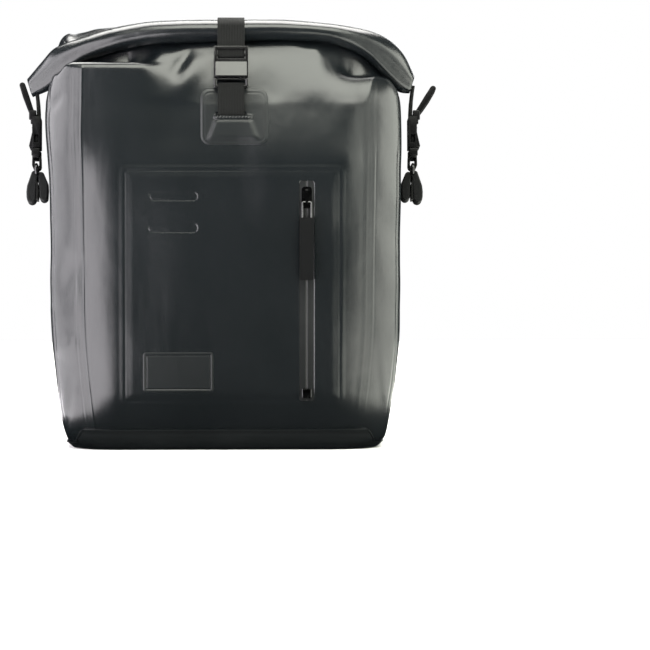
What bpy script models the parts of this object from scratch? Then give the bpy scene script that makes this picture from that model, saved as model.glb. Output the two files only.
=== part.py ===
"""Roll-top saddle bag: a coated-fabric shell with a rolled collar, strap buckles, a zipped front
pocket and rail-mounted carrier hooks on the back.

Metres, +Z up, front towards -Y. The origin is the centre of the base's underside.
"""

import math

import bmesh
import bpy
from mathutils import Matrix, Vector

# Shell: heights with the half width, and the front and back faces as profiles over height.
SIDE_PROFILE = (
    (0.0018, 0.1460),
    (0.0100, 0.1535),
    (0.0300, 0.1580),
    (0.0700, 0.1625),
    (0.1200, 0.1660),
    (0.2000, 0.1670),
    (0.3000, 0.1685),
    (0.3250, 0.1680),
    (0.3430, 0.1630),
)
FRONT_PROFILE = (
    (0.0018, -0.0820),
    (0.0100, -0.0890),
    (0.0300, -0.0945),
    (0.0500, -0.0975),
    (0.2600, -0.0985),
    (0.3000, -0.0935),
    (0.3600, -0.0850),
)
BACK_PROFILE = ((0.0018, 0.0800), (0.0100, 0.0845), (0.0300, 0.0850), (0.3430, 0.0850))
SHELL_HEIGHTS = (0.0018, 0.010, 0.030, 0.050, 0.070, 0.120, 0.200, 0.260, 0.300, 0.325)
SHELL_CORNER = 0.034
SHELL_WALL = 0.0025
FIT_GAP = 0.0004
SHOULDER_HEIGHT = 0.343
SHOULDER_DIP = 0.010
RIM_HALF_WIDTH = 0.152
RIM_FRONT = -0.085
RIM_BACK = 0.078
RIM_FRONT_HEIGHT = 0.362
RIM_BACK_HEIGHT = 0.388
RIM_DIP = 0.030
RIM_CORNER = 0.030
COLLAR_LIFT = 0.0028
COLLAR_WALL = 0.0012
DIP_MIDDLE = -0.030
DIP_REACH = 0.060
CORNER_STEPS = 3
WIDE_STEPS = 8
SIDE_STEPS = 4

# Roll: its crest sags and its axis runs back towards both ends.
ROLL_CREST = 0.408
ROLL_SAG = 0.060
ROLL_SAG_POWER = 3.2
ROLL_SPAN = 0.188
ROLL_HALF_LENGTH = 0.184
ROLL_DEPTH = 0.023
ROLL_THICKNESS = 0.011
ROLL_Y = -0.058
ROLL_RUN_BACK = 0.030
ROLL_STATIONS = 16
ROLL_SIDES = 16
STIFFENER_HALF_LENGTH = 0.140

# Webbing, buckles and the slope shared by every strap.
STRAP_TILT = math.radians(8)
WEBBING_WIDTH = 0.025
WEBBING_THICKNESS = 0.0016
BUCKLE_WIDTH = 0.032
BUCKLE_THICKNESS = 0.008
BUCKLE_TOP = 0.019
BUCKLE_SPLIT = -0.011
BUCKLE_BOTTOM = -0.0205
SPLIT_GAP = 0.0005
POCKET_WIDTH = 0.027
POCKET_THICKNESS = 0.0046
POCKET_DEPTH = 0.016
SLOT_WIDTH = 0.0265
PRONG_HALF_THICKNESS = 0.0018
MALE_HALF_THICKNESS = 0.0030
WEB_BEHIND_BAR = 0.0014
FRONT_STRAP_X = 0.006
FRONT_BUCKLE = (FRONT_STRAP_X, -0.0906, 0.363)
SIDE_BUCKLE = (0.1796, -0.0343, 0.2955)
RING_TOP = -0.0270
RING_BOTTOM = -0.0360
RING_WIRE = 0.0016
LEVER_PIVOT = (-0.0042, 0.0222)
LEVER_LENGTH = 0.029
LEVER_THICKNESS = 0.005
LEVER_LEAN = {"L": math.radians(19), "R": math.radians(33)}

# Front pocket, zip and badge, as ranges of x and z on the front face.
POCKET = (-0.101, 0.115, 0.041, 0.272)
POCKET_CORNER = 0.012
POCKET_PANEL = 0.0016
ZIP_X = 0.077
ZIP_HALF_WIDTH = 0.007
ZIP_LOW = 0.048
ZIP_HIGH = 0.256
ZIP_SLIDER = 0.240
SLOT_MARKS = ((-0.072, -0.025, 0.236, 0.245), (-0.072, -0.025, 0.206, 0.216))
BADGE = (-0.0775, -0.011, 0.056, 0.094)
BADGE_BORDER = 0.003
BADGE_OFFSET = 0.0023
PATCH_THICKNESS = 0.0012
BOARD_THICKNESS = 0.002
ANCHOR_PATCH = (-0.023, 0.041, 0.289, 0.342)
SLIT_HEIGHT = 0.318

# Back rails, hooks and handle. A rail's section is given about the rail's own height.
BACK_FACE = 0.085
TOP_RAIL_HEIGHT = 0.318
LOWER_RAIL_HEIGHT = 0.110
TOP_RAIL_HALF_LENGTH = 0.130
LOWER_RAIL_HALF_LENGTH = 0.080
RAIL_FACE = 0.0943
TOP_BOLTS = (-0.118, -0.055, 0.055, 0.118)
HANDLE_BOLT = 0.055
LOWER_BOLTS = (-0.060, 0.060)
BOLT_RADIUS = 0.0025
BOLT_CLEARANCE = 0.0003
BOLT_HEAD = 0.0055
BOLT_HEAD_THICKNESS = 0.0022
BOLT_INNER_END = 0.0745
COUNTERSUNK_HEAD_Y = 0.0918
HANDLE_BOLT_HEAD_Y = 0.1069
HOOK_X = 0.095
HOOK_HALF_WIDTH = 0.015
TUBE_RADIUS = 0.008
TUBE_Y = 0.107
TUBE_Z = 0.338
HOOK_INNER = TUBE_RADIUS + 0.0004
HOOK_OUTER = 0.0138
GATE_PIVOT = (0.1181, 0.3180)
GATE_HALF_WIDTH = 0.007
GATE_TIP = 0.0030
PIN_RADIUS = 0.0012
PIN_BORE = 0.0015
SWIVEL_X = -0.0025
HANDLE_PIVOT = (0.1010, 0.3350)
HANDLE_HALF_WIDTH = 0.045
HANDLE_DROP = 0.046
HANDLE_RADIUS = 0.0035

TO_YZ = Matrix(((0, 0, 1, 0), (1, 0, 0, 0), (0, 1, 0, 0), (0, 0, 0, 1)))
TO_XZ = Matrix(((1, 0, 0, 0), (0, 0, -1, 0), (0, 1, 0, 0), (0, 0, 0, 1)))
ALONG_X = Matrix.Rotation(math.pi / 2, 4, "Y")
ALONG_Y = Matrix.Rotation(-math.pi / 2, 4, "X")


def clear_scene():
    for old in list(bpy.data.objects):
        bpy.data.objects.remove(old, do_unlink=True)


def make_collection(name):
    collection = bpy.data.collections.new(name)
    bpy.context.scene.collection.children.link(collection)
    return collection


def make_material(name, colour, roughness, metallic=0.0):
    material = bpy.data.materials.new(name)
    material.use_nodes = True
    shader = material.node_tree.nodes["Principled BSDF"]
    shader.inputs["Base Color"].default_value = (*colour, 1)
    shader.inputs["Roughness"].default_value = roughness
    shader.inputs["Metallic"].default_value = metallic
    return material


clear_scene()
PARTS = make_collection("saddle_bag")
CUTTERS = make_collection("cutters")
COATED_FABRIC = make_material("coated_fabric", (0.018, 0.019, 0.021), 0.45)
PATCH_FABRIC = make_material("patch_fabric", (0.014, 0.015, 0.017), 0.50)
WEBBING = make_material("webbing", (0.012, 0.012, 0.013), 0.80)
BUCKLE_PLASTIC = make_material("buckle_plastic", (0.010, 0.010, 0.011), 0.30)
RAIL_PLASTIC = make_material("rail_plastic", (0.015, 0.015, 0.016), 0.55)
BOARD_PLASTIC = make_material("board_plastic", (0.05, 0.05, 0.05), 0.60)
ZIP_COATING = make_material("zip_coating", (0.012, 0.012, 0.013), 0.40)
BLACK_METAL = make_material("black_metal", (0.02, 0.02, 0.02), 0.30, 1.0)
STEEL = make_material("steel", (0.55, 0.55, 0.56), 0.35, 1.0)
GRIP_RUBBER = make_material("grip_rubber", (0.015, 0.015, 0.015), 0.80)


def between(profile, height):
    """The value of a profile of (height, value) pairs at this height."""
    for (low, a), (high, b) in zip(profile, profile[1:]):
        if height <= high:
            return a + (b - a) * (height - low) / (high - low)
    return profile[-1][1]


def front_y(height):
    return between(FRONT_PROFILE, height)


def place(obj, location=(0, 0, 0), parent=None):
    obj.location = location
    obj.parent = parent
    return obj


def add_object(name, mesh, material=None):
    """A part in its material or, with none, a helper that only cuts or joins."""
    obj = bpy.data.objects.new(name, mesh)
    if material:
        mesh.materials.append(material)
        mesh.shade_smooth()
        mesh.set_sharp_from_angle(angle=math.radians(35))
        PARTS.objects.link(obj)
    else:
        CUTTERS.objects.link(obj)
        obj.hide_render = True
        obj.display_type = "WIRE"
    return obj


def add_frame(name, location, rotation=Matrix.Identity(4)):
    frame = bpy.data.objects.new(name, None)
    frame.empty_display_size = 0.02
    PARTS.objects.link(frame)
    frame.matrix_world = Matrix.Translation(location) @ rotation
    return frame


def box(name, low, high, material=None):
    low, high = Vector(low), Vector(high)
    shape = bmesh.new()
    bmesh.ops.create_cube(shape, size=1)
    bmesh.ops.scale(shape, vec=high - low, verts=shape.verts)
    bmesh.ops.translate(shape, vec=(low + high) / 2, verts=shape.verts)
    return from_bmesh(name, shape, material)


def cylinder(name, radius, length, turn, centre, material=None, sides=16):
    shape = bmesh.new()
    bmesh.ops.create_cone(
        shape,
        cap_ends=True,
        segments=sides,
        radius1=radius,
        radius2=radius,
        depth=length,
        matrix=Matrix.Translation(centre) @ turn,
    )
    return from_bmesh(name, shape, material)


def from_bmesh(name, shape, material=None):
    mesh = bpy.data.meshes.new(name)
    shape.to_mesh(mesh)
    shape.free()
    return add_object(name, mesh, material)


def as_mesh(curve_object, name, turn, material=None):
    """The curve's solid as a mesh object, with its caps welded and turned into place."""
    graph = bpy.context.evaluated_depsgraph_get()
    mesh = bpy.data.meshes.new_from_object(curve_object.evaluated_get(graph))
    curve = curve_object.data
    bpy.data.objects.remove(curve_object)
    bpy.data.curves.remove(curve)
    shape = bmesh.new()
    shape.from_mesh(mesh)
    bpy.data.meshes.remove(mesh)
    bmesh.ops.remove_doubles(shape, verts=shape.verts, dist=0.00001)
    bmesh.ops.transform(shape, matrix=turn, verts=shape.verts)
    return from_bmesh(name, shape, material)


def outline_solid(name, outline, thickness, turn, material=None, middle=0.0):
    """A flat outline with this thickness, centred at middle along the outline's normal."""
    curve = bpy.data.curves.new(name, "CURVE")
    curve.dimensions = "2D"
    curve.fill_mode = "BOTH"
    curve.extrude = thickness / 2
    spline = curve.splines.new("POLY")
    spline.points.add(len(outline) - 1)
    for point, (u, v) in zip(spline.points, outline):
        point.co = (u, v, 0, 1)
    spline.use_cyclic_u = True
    flat = bpy.data.objects.new(name, curve)
    CUTTERS.objects.link(flat)
    return as_mesh(flat, name, turn @ Matrix.Translation((0, 0, middle)), material)


def wire(name, points, radius, material, closed=False, resolution=2):
    """A round wire or rod through the points."""
    curve = bpy.data.curves.new(name, "CURVE")
    curve.dimensions = "3D"
    curve.bevel_depth = radius
    curve.bevel_resolution = resolution
    curve.use_fill_caps = not closed
    spline = curve.splines.new("POLY")
    spline.points.add(len(points) - 1)
    for point, place_of in zip(spline.points, points):
        point.co = (*place_of, 1)
    spline.use_cyclic_u = closed
    rod = bpy.data.objects.new(name, curve)
    CUTTERS.objects.link(rod)
    return as_mesh(rod, name, Matrix.Identity(4), material)


def arc(centre, radius, start, end, steps):
    """Points on an arc, with its angles in degrees."""
    angles = [math.radians(start + (end - start) * i / steps) for i in range(steps + 1)]
    return [
        (centre[0] + radius * math.cos(angle), centre[1] + radius * math.sin(angle))
        for angle in angles
    ]


def rounded_rectangle(low_u, high_u, low_v, high_v, radius, steps=4):
    corners = (
        ((high_u - radius, low_v + radius), 270),
        ((high_u - radius, high_v - radius), 0),
        ((low_u + radius, high_v - radius), 90),
        ((low_u + radius, low_v + radius), 180),
    )
    return [
        point
        for centre, start in corners
        for point in arc(centre, radius, start, start + 90, steps)
    ]


def boolean(obj, other, operation):
    modifier = obj.modifiers.new(operation.lower(), "BOOLEAN")
    modifier.operation = operation
    modifier.object = other
    modifier.solver = "EXACT"
    return obj


def cut(obj, cutter):
    return boolean(obj, cutter, "DIFFERENCE")


def join(obj, other):
    return boolean(obj, other, "UNION")


def solidify(obj, thickness, offset):
    modifier = obj.modifiers.new("wall", "SOLIDIFY")
    modifier.thickness = thickness
    modifier.offset = offset
    modifier.use_even_offset = True
    return obj


def bevel(obj, width, segments=1):
    modifier = obj.modifiers.new("edges", "BEVEL")
    modifier.width = width
    modifier.segments = segments
    modifier.limit_method = "ANGLE"
    modifier.angle_limit = math.radians(40)
    return obj


def loft(name, rings, material, first_cap=False, last_cap=False, looped=False):
    """Quads between rings of equal count, a capped end closed by one face."""
    shape = bmesh.new()
    rows = [[shape.verts.new(point) for point in ring] for ring in rings]
    count = len(rows[0])
    pairs = list(zip(rows, rows[1:]))
    if looped:
        pairs.append((rows[-1], rows[0]))
    for lower, upper in pairs:
        for i in range(count):
            j = (i + 1) % count
            shape.faces.new((lower[i], lower[j], upper[j], upper[i]))
    if first_cap:
        shape.faces.new(rows[0][::-1])
    if last_cap:
        shape.faces.new(rows[-1])
    return from_bmesh(name, shape, material)


def strip(name, path, width, thickness, material, middle=0.0, closed=False):
    """Webbing or a plate: a sheet along a path of (y, z) points, thickened evenly both ways."""
    shape = bmesh.new()
    rows = [
        [shape.verts.new((middle + end * width / 2, y, z)) for end in (-1, 1)]
        for y, z in path
    ]
    pairs = list(zip(rows, rows[1:]))
    if closed:
        pairs.append((rows[-1], rows[0]))
    for (a, b), (c, d) in pairs:
        shape.faces.new((a, b, d, c))
    return solidify(from_bmesh(name, shape, material), thickness, 0)


def shell_outline(half_width, front, back, radius):
    """A rounded rectangle seen from above, anticlockwise, with the same count at every height."""
    x, near, far = half_width - radius, front + radius, back - radius
    corners = (((x, far), 0), ((-x, far), 90), ((-x, near), 180), ((x, near), 270))
    points = []
    for i, (centre, start) in enumerate(corners):
        points += arc(centre, radius, start, start + 90, CORNER_STEPS)
        steps = SIDE_STEPS if i % 2 else WIDE_STEPS
        end = Vector(points[-1])
        following, angle = corners[(i + 1) % 4]
        target = Vector(arc(following, radius, angle, angle, 1)[0])
        points += [tuple(end.lerp(target, step / steps)) for step in range(1, steps)]
    return points


def side_dip(x, y):
    """How far the rim sinks under the roll's ends: 1 at the sides' lowest point."""
    outward = min(1.0, max(0.0, (abs(x) - 0.110) / 0.035))
    along = min(1.0, abs(y - DIP_MIDDLE) / DIP_REACH)
    return outward * math.cos(along * math.pi / 2) ** 2


def shell_ring(height, grown=0.0, lowered=0.0):
    outline = shell_outline(
        between(SIDE_PROFILE, height) + grown,
        front_y(height) - grown,
        between(BACK_PROFILE, height) + grown,
        SHELL_CORNER + grown,
    )
    return [(x, y, height - lowered) for x, y in outline]


def shoulder_ring():
    return [
        (x, y, z - SHOULDER_DIP * side_dip(x, y))
        for x, y, z in shell_ring(SHOULDER_HEIGHT)
    ]


def rim_ring(raised=0.0):
    slope = (RIM_BACK_HEIGHT - RIM_FRONT_HEIGHT) / (RIM_BACK - RIM_FRONT)
    return [
        (x, y, RIM_FRONT_HEIGHT + (y - RIM_FRONT) * slope - RIM_DIP * side_dip(x, y) + raised)
        for x, y in shell_outline(RIM_HALF_WIDTH, RIM_FRONT, RIM_BACK, RIM_CORNER)
    ]


def roll_section(x):
    """The roll's middle y and z and its half depth and half thickness at x."""
    share = abs(x) / ROLL_SPAN
    thickness = ROLL_THICKNESS - 0.003 * share**2
    depth = ROLL_DEPTH - 0.007 * share**2
    z = ROLL_CREST - ROLL_SAG * share**ROLL_SAG_POWER - ROLL_THICKNESS
    return ROLL_Y + ROLL_RUN_BACK * share**2.5, z, depth, thickness


def build_shell():
    rings = [shell_ring(height) for height in SHELL_HEIGHTS]
    rings += [shoulder_ring(), rim_ring()]
    shell = solidify(loft("main_shell", rings, COATED_FABRIC, first_cap=True), SHELL_WALL, -1)
    drill_back(shell)
    return shell


def drill_back(obj):
    """Bolt holes for both rails through a wall or board of the back."""
    for x in TOP_BOLTS:
        cut(obj, bolt_hole(obj.name, x, TOP_RAIL_HEIGHT))
    for x in LOWER_BOLTS:
        cut(obj, bolt_hole(obj.name, x, LOWER_RAIL_HEIGHT))


def bolt_hole(name, x, z):
    radius = BOLT_RADIUS + BOLT_CLEARANCE
    return cylinder(f"{name}_hole", radius, 0.05, ALONG_Y, (x, BACK_FACE, z), sides=12)


def build_base_patch():
    rings = [
        [(x, y, PATCH_THICKNESS) for x, y, _ in shell_ring(SHELL_HEIGHTS[0], FIT_GAP)],
        shell_ring(0.010, FIT_GAP, FIT_GAP),
        shell_ring(0.020, FIT_GAP),
    ]
    patch = loft("base_patch", rings, PATCH_FABRIC, first_cap=True)
    return solidify(patch, PATCH_THICKNESS, 1)


def build_boards():
    back = outline_solid(
        "back_board",
        rounded_rectangle(-0.126, 0.126, 0.040, 0.322, 0.012),
        BOARD_THICKNESS,
        TO_XZ,
        BOARD_PLASTIC,
        middle=-(BACK_FACE - SHELL_WALL - 0.0014),
    )
    drill_back(back)
    outline_solid(
        "base_board",
        rounded_rectangle(-0.125, 0.125, -0.068, 0.068, 0.020),
        BOARD_THICKNESS,
        Matrix.Identity(4),
        BOARD_PLASTIC,
        middle=SHELL_HEIGHTS[0] + SHELL_WALL + 0.0014,
    )


def build_collar():
    mid_outline = shell_outline(0.146, -0.0775, 0.055, 0.028)
    middle = [
        (x, y, 0.372 + (y + 0.0775) * 0.204 - 0.028 * side_dip(x, y + 0.006))
        for x, y in mid_outline
    ]
    top = []
    for x, offset in shell_outline(0.118, -0.012, 0.020, 0.010):
        y_middle, z_middle, depth, thickness = roll_section(x)
        under = z_middle - thickness * math.sqrt(1 - (offset / depth) ** 2)
        gap = 2 * FIT_GAP + 0.006 * (abs(x) / 0.118) ** 4
        top.append((x, y_middle + offset, under - gap))
    collar = loft("collar", [rim_ring(COLLAR_LIFT), middle, top], COATED_FABRIC)
    return solidify(collar, COLLAR_WALL, -1)


def roll_ring(x, depth_share, thickness_share):
    y_middle, z_middle, depth, thickness = roll_section(x)
    return [
        (x, y_middle + depth * depth_share * u, z_middle + thickness * thickness_share * v)
        for u, v in arc((0, 0), 1, 0, 360 - 360 / ROLL_SIDES, ROLL_SIDES - 1)
    ]


def stations(half_length):
    return [half_length * (2 * i / ROLL_STATIONS - 1) for i in range(ROLL_STATIONS + 1)]


def build_roll():
    """The rolled fabric, open along its core, with the stiffener strip inside."""
    xs = stations(ROLL_HALF_LENGTH)
    outside = [roll_ring(x, 1.0, 1.0) for x in xs]
    core = [roll_ring(x, 0.62, 0.22) for x in reversed(xs)]
    loft("roll_fabric", outside + core, COATED_FABRIC, looped=True)
    strip_rings = [roll_ring(x, 0.50, 0.09) for x in stations(STIFFENER_HALF_LENGTH)]
    loft("roll_stiffener", strip_rings, BOARD_PLASTIC, first_cap=True, last_cap=True)


def front_sheet(name, low, high, offset, thickness, width, middle, material):
    """A plate on the front face between two heights, its inner side this far off the shell."""
    heights = [low] + [h for h, _ in FRONT_PROFILE if low < h < high] + [high]
    path = [(front_y(h) - offset - thickness / 2, h) for h in heights]
    return strip(name, path, width, thickness, material, middle)


def front_patch(name, area, radius, offset, thickness, material):
    """A plate on the front face with rounded corners."""
    low_x, high_x, low_z, high_z = area
    plate = front_sheet(
        name,
        low_z,
        high_z,
        offset,
        thickness,
        high_x - low_x,
        (low_x + high_x) / 2,
        material,
    )
    outline = rounded_rectangle(low_x, high_x, low_z, high_z, radius)
    rounding = outline_solid(f"{name}_outline", outline, 0.05, TO_XZ, middle=0.095)
    return boolean(plate, rounding, "INTERSECT")


def build_pocket():
    pocket = front_patch(
        "front_pocket", POCKET, POCKET_CORNER, FIT_GAP, POCKET_PANEL, COATED_FABRIC
    )
    window = ZIP_HALF_WIDTH + 0.0003
    cut(
        pocket,
        box(
            "zip_window",
            (ZIP_X - window, -0.12, ZIP_LOW - 0.0003),
            (ZIP_X + window, -0.08, ZIP_HIGH + 0.0003),
        ),
    )
    face = front_y(0.220) - FIT_GAP - POCKET_PANEL
    for low_x, high_x, low_z, high_z in SLOT_MARKS:
        mark = box("slot_mark", (low_x, face - 0.01, low_z), (high_x, face + 0.0007, high_z))
        cut(pocket, mark)
    badge = front_patch("badge_patch", BADGE, 0.004, BADGE_OFFSET, POCKET_PANEL, PATCH_FABRIC)
    badge_face = front_y(0.075) - BADGE_OFFSET - POCKET_PANEL
    low_x, high_x, low_z, high_z = BADGE
    field = box(
        "badge_field",
        (low_x + BADGE_BORDER, badge_face - 0.01, low_z + BADGE_BORDER),
        (high_x - BADGE_BORDER, badge_face + 0.0006, high_z - BADGE_BORDER),
    )
    cut(badge, field)


def build_zip():
    width = 2 * ZIP_HALF_WIDTH
    front_sheet(
        "zip_tape", ZIP_LOW, ZIP_HIGH, FIT_GAP, PATCH_THICKNESS, width, ZIP_X, ZIP_COATING
    )
    stop = box(
        "zip_stop",
        (ZIP_X - 0.0045, front_y(0.055) - 0.0037, 0.0505),
        (ZIP_X + 0.0045, front_y(0.055) - 0.0019, 0.0595),
        BLACK_METAL,
    )
    bevel(stop, 0.0006)
    build_slider()


def build_slider():
    """The slider and its bridge. The link's top bar lies under the bridge and is the pull's axis."""
    face = front_y(ZIP_SLIDER) - 0.0020
    frame = add_frame("zip_frame", (ZIP_X, face, ZIP_SLIDER))
    outline = rounded_rectangle(-0.0048, 0.0048, -0.0104, 0.0100, 0.003, 3)
    slider = outline_solid("zip_slider", outline, 0.0024, TO_XZ, BLACK_METAL, middle=0.0012)
    place(slider, parent=frame)
    bridge = outline_solid(
        "slider_bridge",
        (
            (-0.0020, 0.0080),
            (-0.0020, -0.0080),
            (-0.0062, -0.0062),
            (-0.0062, 0.0062),
        ),
        0.0024,
        TO_YZ,
    )
    place(bridge, parent=frame)
    opening = box("bridge_opening", (-0.002, -0.0050, -0.0058), (0.002, -0.0024, 0.0058))
    place(opening, parent=frame)
    cut(join(slider, bridge), opening)
    pull = add_frame("zip_pull_frame", (ZIP_X, face - 0.0037, ZIP_SLIDER - 0.0045))
    link = wire(
        "zip_pull_link",
        [
            (x, 0, z)
            for x, z in rounded_rectangle(-0.0042, 0.0042, -0.0165, 0.0, 0.0012, 2)
        ],
        0.0009,
        BLACK_METAL,
        closed=True,
        resolution=1,
    )
    place(link, parent=pull)
    tab_outline = rounded_rectangle(-0.0066, 0.0066, -0.0735, -0.0145, 0.0015, 2)
    tab = outline_solid("zip_pull_tab", tab_outline, 0.0036, TO_XZ, WEBBING)
    place(tab, parent=pull)
    eye = box("tab_eye", (-0.0058, -0.0013, -0.0180), (0.0058, 0.0013, -0.0130))
    place(eye, parent=pull)
    cut(tab, eye)


def build_buckle_female(name, frame, ears=False):
    """Upper half: a pocket for the prongs below, a webbing slot and bar above."""
    half, thick = BUCKLE_WIDTH / 2, BUCKLE_THICKNESS / 2
    low = BUCKLE_SPLIT + SPLIT_GAP
    body = bevel(box(name, (-half, -thick, low), (half, thick, BUCKLE_TOP), BUCKLE_PLASTIC), 0.001)
    place(body, parent=frame)
    pocket, deep = POCKET_WIDTH / 2, POCKET_THICKNESS / 2
    cutters = [
        box("prong_pocket", (-pocket, -deep, low - 0.01), (pocket, deep, low + POCKET_DEPTH)),
        box("side_windows", (-0.03, -deep, low + 0.004), (0.03, deep, low + 0.012)),
        box("web_slot", (-SLOT_WIDTH / 2, -0.01, 0.0074), (SLOT_WIDTH / 2, 0.01, 0.0160)),
        box("web_relief", (-SLOT_WIDTH / 2, 0.0002, 0.0150), (SLOT_WIDTH / 2, 0.01, 0.03)),
    ]
    for cutter in cutters:
        cut(body, place(cutter, parent=frame))
    if ears:
        add_lever_ears(body, frame)
    return body


def add_lever_ears(body, frame):
    y, z = LEVER_PIVOT
    for side in (-1, 1):
        inner, outer = sorted((side * 0.0132, side * 0.0158))
        ear = box("lever_ear", (inner, y - 0.0026, 0.0160), (outer, y + 0.0040, z + 0.0026))
        join(body, place(ear, parent=frame))
    hole = cylinder("lever_hole", PIN_BORE, 0.04, ALONG_X, (0, y, z), sides=12)
    cut(body, place(hole, parent=frame))


def build_buckle_male(name, frame):
    """Lower half: two prongs and a guide that reach into the pocket, and the bar for webbing."""
    half, thick = BUCKLE_WIDTH / 2, MALE_HALF_THICKNESS
    body = box(
        name, (-half, -thick, BUCKLE_BOTTOM), (half, thick, BUCKLE_SPLIT), BUCKLE_PLASTIC
    )
    bevel(place(body, parent=frame), 0.0008)
    slot = box("bar_slot", (-SLOT_WIDTH / 2, -0.01, -0.0175), (SLOT_WIDTH / 2, 0.01, -0.0132))
    cut(body, place(slot, parent=frame))
    tip = BUCKLE_SPLIT + POCKET_DEPTH - 0.0016
    for low, high in ((-0.0128, -0.0082), (-0.0025, 0.0025), (0.0082, 0.0128)):
        prong = box(
            "prong",
            (low, -PRONG_HALF_THICKNESS, BUCKLE_SPLIT - 0.001),
            (high, PRONG_HALF_THICKNESS, tip),
        )
        join(body, place(prong, parent=frame))
    return body


def bar_loop(high, low, radius, steps=8):
    """A closed belt of (y, z) points round two bars."""
    return arc((0, high), radius, 0, 180, steps) + arc((0, low), radius, 180, 360, steps)


def build_front_strap():
    tilt = Matrix.Rotation(-STRAP_TILT, 4, "X")
    frame = add_frame("front_strap_frame", FRONT_BUCKLE, tilt)
    build_buckle_female("front_buckle_female", frame)
    build_buckle_male("front_buckle_male", frame)
    front_patch(
        "front_anchor_patch", ANCHOR_PATCH, 0.009, FIT_GAP, PATCH_THICKNESS, PATCH_FABRIC
    )
    slit = box(
        "patch_slit",
        (FRONT_STRAP_X - 0.0135, -0.12, SLIT_HEIGHT - 0.0026),
        (FRONT_STRAP_X + 0.0135, -0.08, SLIT_HEIGHT + 0.0008),
    )
    cut(bpy.data.objects["front_anchor_patch"], slit)
    slit_z = (SLIT_HEIGHT - FRONT_BUCKLE[2]) / math.cos(STRAP_TILT)
    lower = (
        [(0.0029, slit_z - 0.0012), (0.0007, slit_z + 0.0006), (0.0004, -0.0270)]
        + [(-0.0030, -0.0235)]
        + arc((0, -0.0190), 0.0045, 180, 0, 8)
    )
    web = strip("front_lower_web", lower, WEBBING_WIDTH, WEBBING_THICKNESS, WEBBING)
    place(web, parent=frame)
    build_front_upper_web(tilt)


def build_front_upper_web(tilt):
    """From the buckle's slot up, over the roll and down to its seam on the collar's roof."""
    start = Matrix.Translation(FRONT_BUCKLE) @ tilt
    path = [start @ Vector((0, WEB_BEHIND_BAR, z)) for z in (0.0080, 0.0290)]
    points = [(point.y, point.z) for point in path]
    y_middle, z_middle, depth, thickness = roll_section(FRONT_STRAP_X)
    over = arc((0, 0), 1, 165, 35, 7)
    points += [
        (y_middle + (depth + 0.0015) * u, z_middle + (thickness + 0.0015) * v)
        for u, v in over
    ]
    points += [(-0.0290, 0.3985), (-0.0180, 0.3955), (0.0120, 0.3975)]
    strip(
        "front_upper_web", points, WEBBING_WIDTH, WEBBING_THICKNESS, WEBBING, FRONT_STRAP_X
    )


def build_side_strap(side, sign):
    """One side's buckle, ring and anchor. In its frame, -Y points away from the bag."""
    x, y, z = SIDE_BUCKLE
    turn = Matrix.Rotation(-STRAP_TILT, 4, "X") @ Matrix.Rotation(sign * math.pi / 2, 4, "Z")
    frame = add_frame(f"side_strap_frame_{side}", (sign * x, y, z), turn)
    build_buckle_female(f"side_buckle_female_{side}", frame, ears=True)
    build_buckle_male(f"side_buckle_male_{side}", frame)
    upper = [(WEB_BEHIND_BAR, 0.0080), (WEB_BEHIND_BAR, 0.0250), (WEB_BEHIND_BAR, 0.0405)]
    web = strip(
        f"side_upper_web_{side}", upper, WEBBING_WIDTH, WEBBING_THICKNESS, WEBBING
    )
    place(web, parent=frame)
    loop = strip(
        f"side_lower_web_{side}",
        bar_loop(-0.0190, RING_TOP, 0.0045),
        WEBBING_WIDTH - 0.001,
        WEBBING_THICKNESS,
        WEBBING,
        closed=True,
    )
    place(loop, parent=frame)
    ring = wire(
        f"side_ring_{side}",
        [
            (u, 0, v)
            for u, v in rounded_rectangle(-0.0150, 0.0150, RING_BOTTOM, RING_TOP, 0.002, 2)
        ],
        RING_WIRE,
        BLACK_METAL,
        closed=True,
    )
    place(ring, parent=frame)
    build_side_anchor(side, frame)
    build_lever(side, frame)


def build_side_anchor(side, frame):
    """The folded webbing that holds the ring, welded to the gusset and rounded at its tail."""
    outline = (
        arc((0, RING_BOTTOM), 0.0036, 160, 10, 5)
        + [(0.0070, -0.0415), (0.0112, -0.0460), (0.0112, -0.0600)]
        + arc((0.0085, -0.0600), 0.0027, 0, -90, 3)
        + [(0.0030, -0.0620)]
        + arc((-0.0035, -0.0600), 0.0042, -90, -180, 4)
        + [(-0.0077, -0.0480)]
    )
    anchor = outline_solid(
        f"side_anchor_{side}", outline, WEBBING_WIDTH - 0.001, TO_YZ, PATCH_FABRIC
    )
    place(anchor, parent=frame)
    eye = cylinder("ring_eye", RING_WIRE + 0.0003, 0.06, ALONG_X, (0, 0, RING_BOTTOM))
    cut(anchor, place(eye, parent=frame))


def build_lever(side, frame):
    """The cam lever, turning on its own trunnion between the ears, leaning away from the bag."""
    pivot = bpy.data.objects.new(f"lever_frame_{side}", None)
    PARTS.objects.link(pivot)
    place(pivot, (0, *LEVER_PIVOT), frame)
    pivot.rotation_euler.x = LEVER_LEAN[side]
    half = LEVER_THICKNESS / 2
    outline = arc((0, LEVER_LENGTH), half, 0, 180, 6) + arc((0, 0), half, 180, 360, 6)
    lever = outline_solid(f"side_lever_{side}", outline, 0.0250, TO_YZ, BUCKLE_PLASTIC)
    place(lever, parent=pivot)
    trunnion = cylinder("trunnion", PIN_RADIUS, 0.0312, ALONG_X, (0, 0, 0), sides=12)
    join(lever, place(trunnion, parent=pivot))


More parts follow.
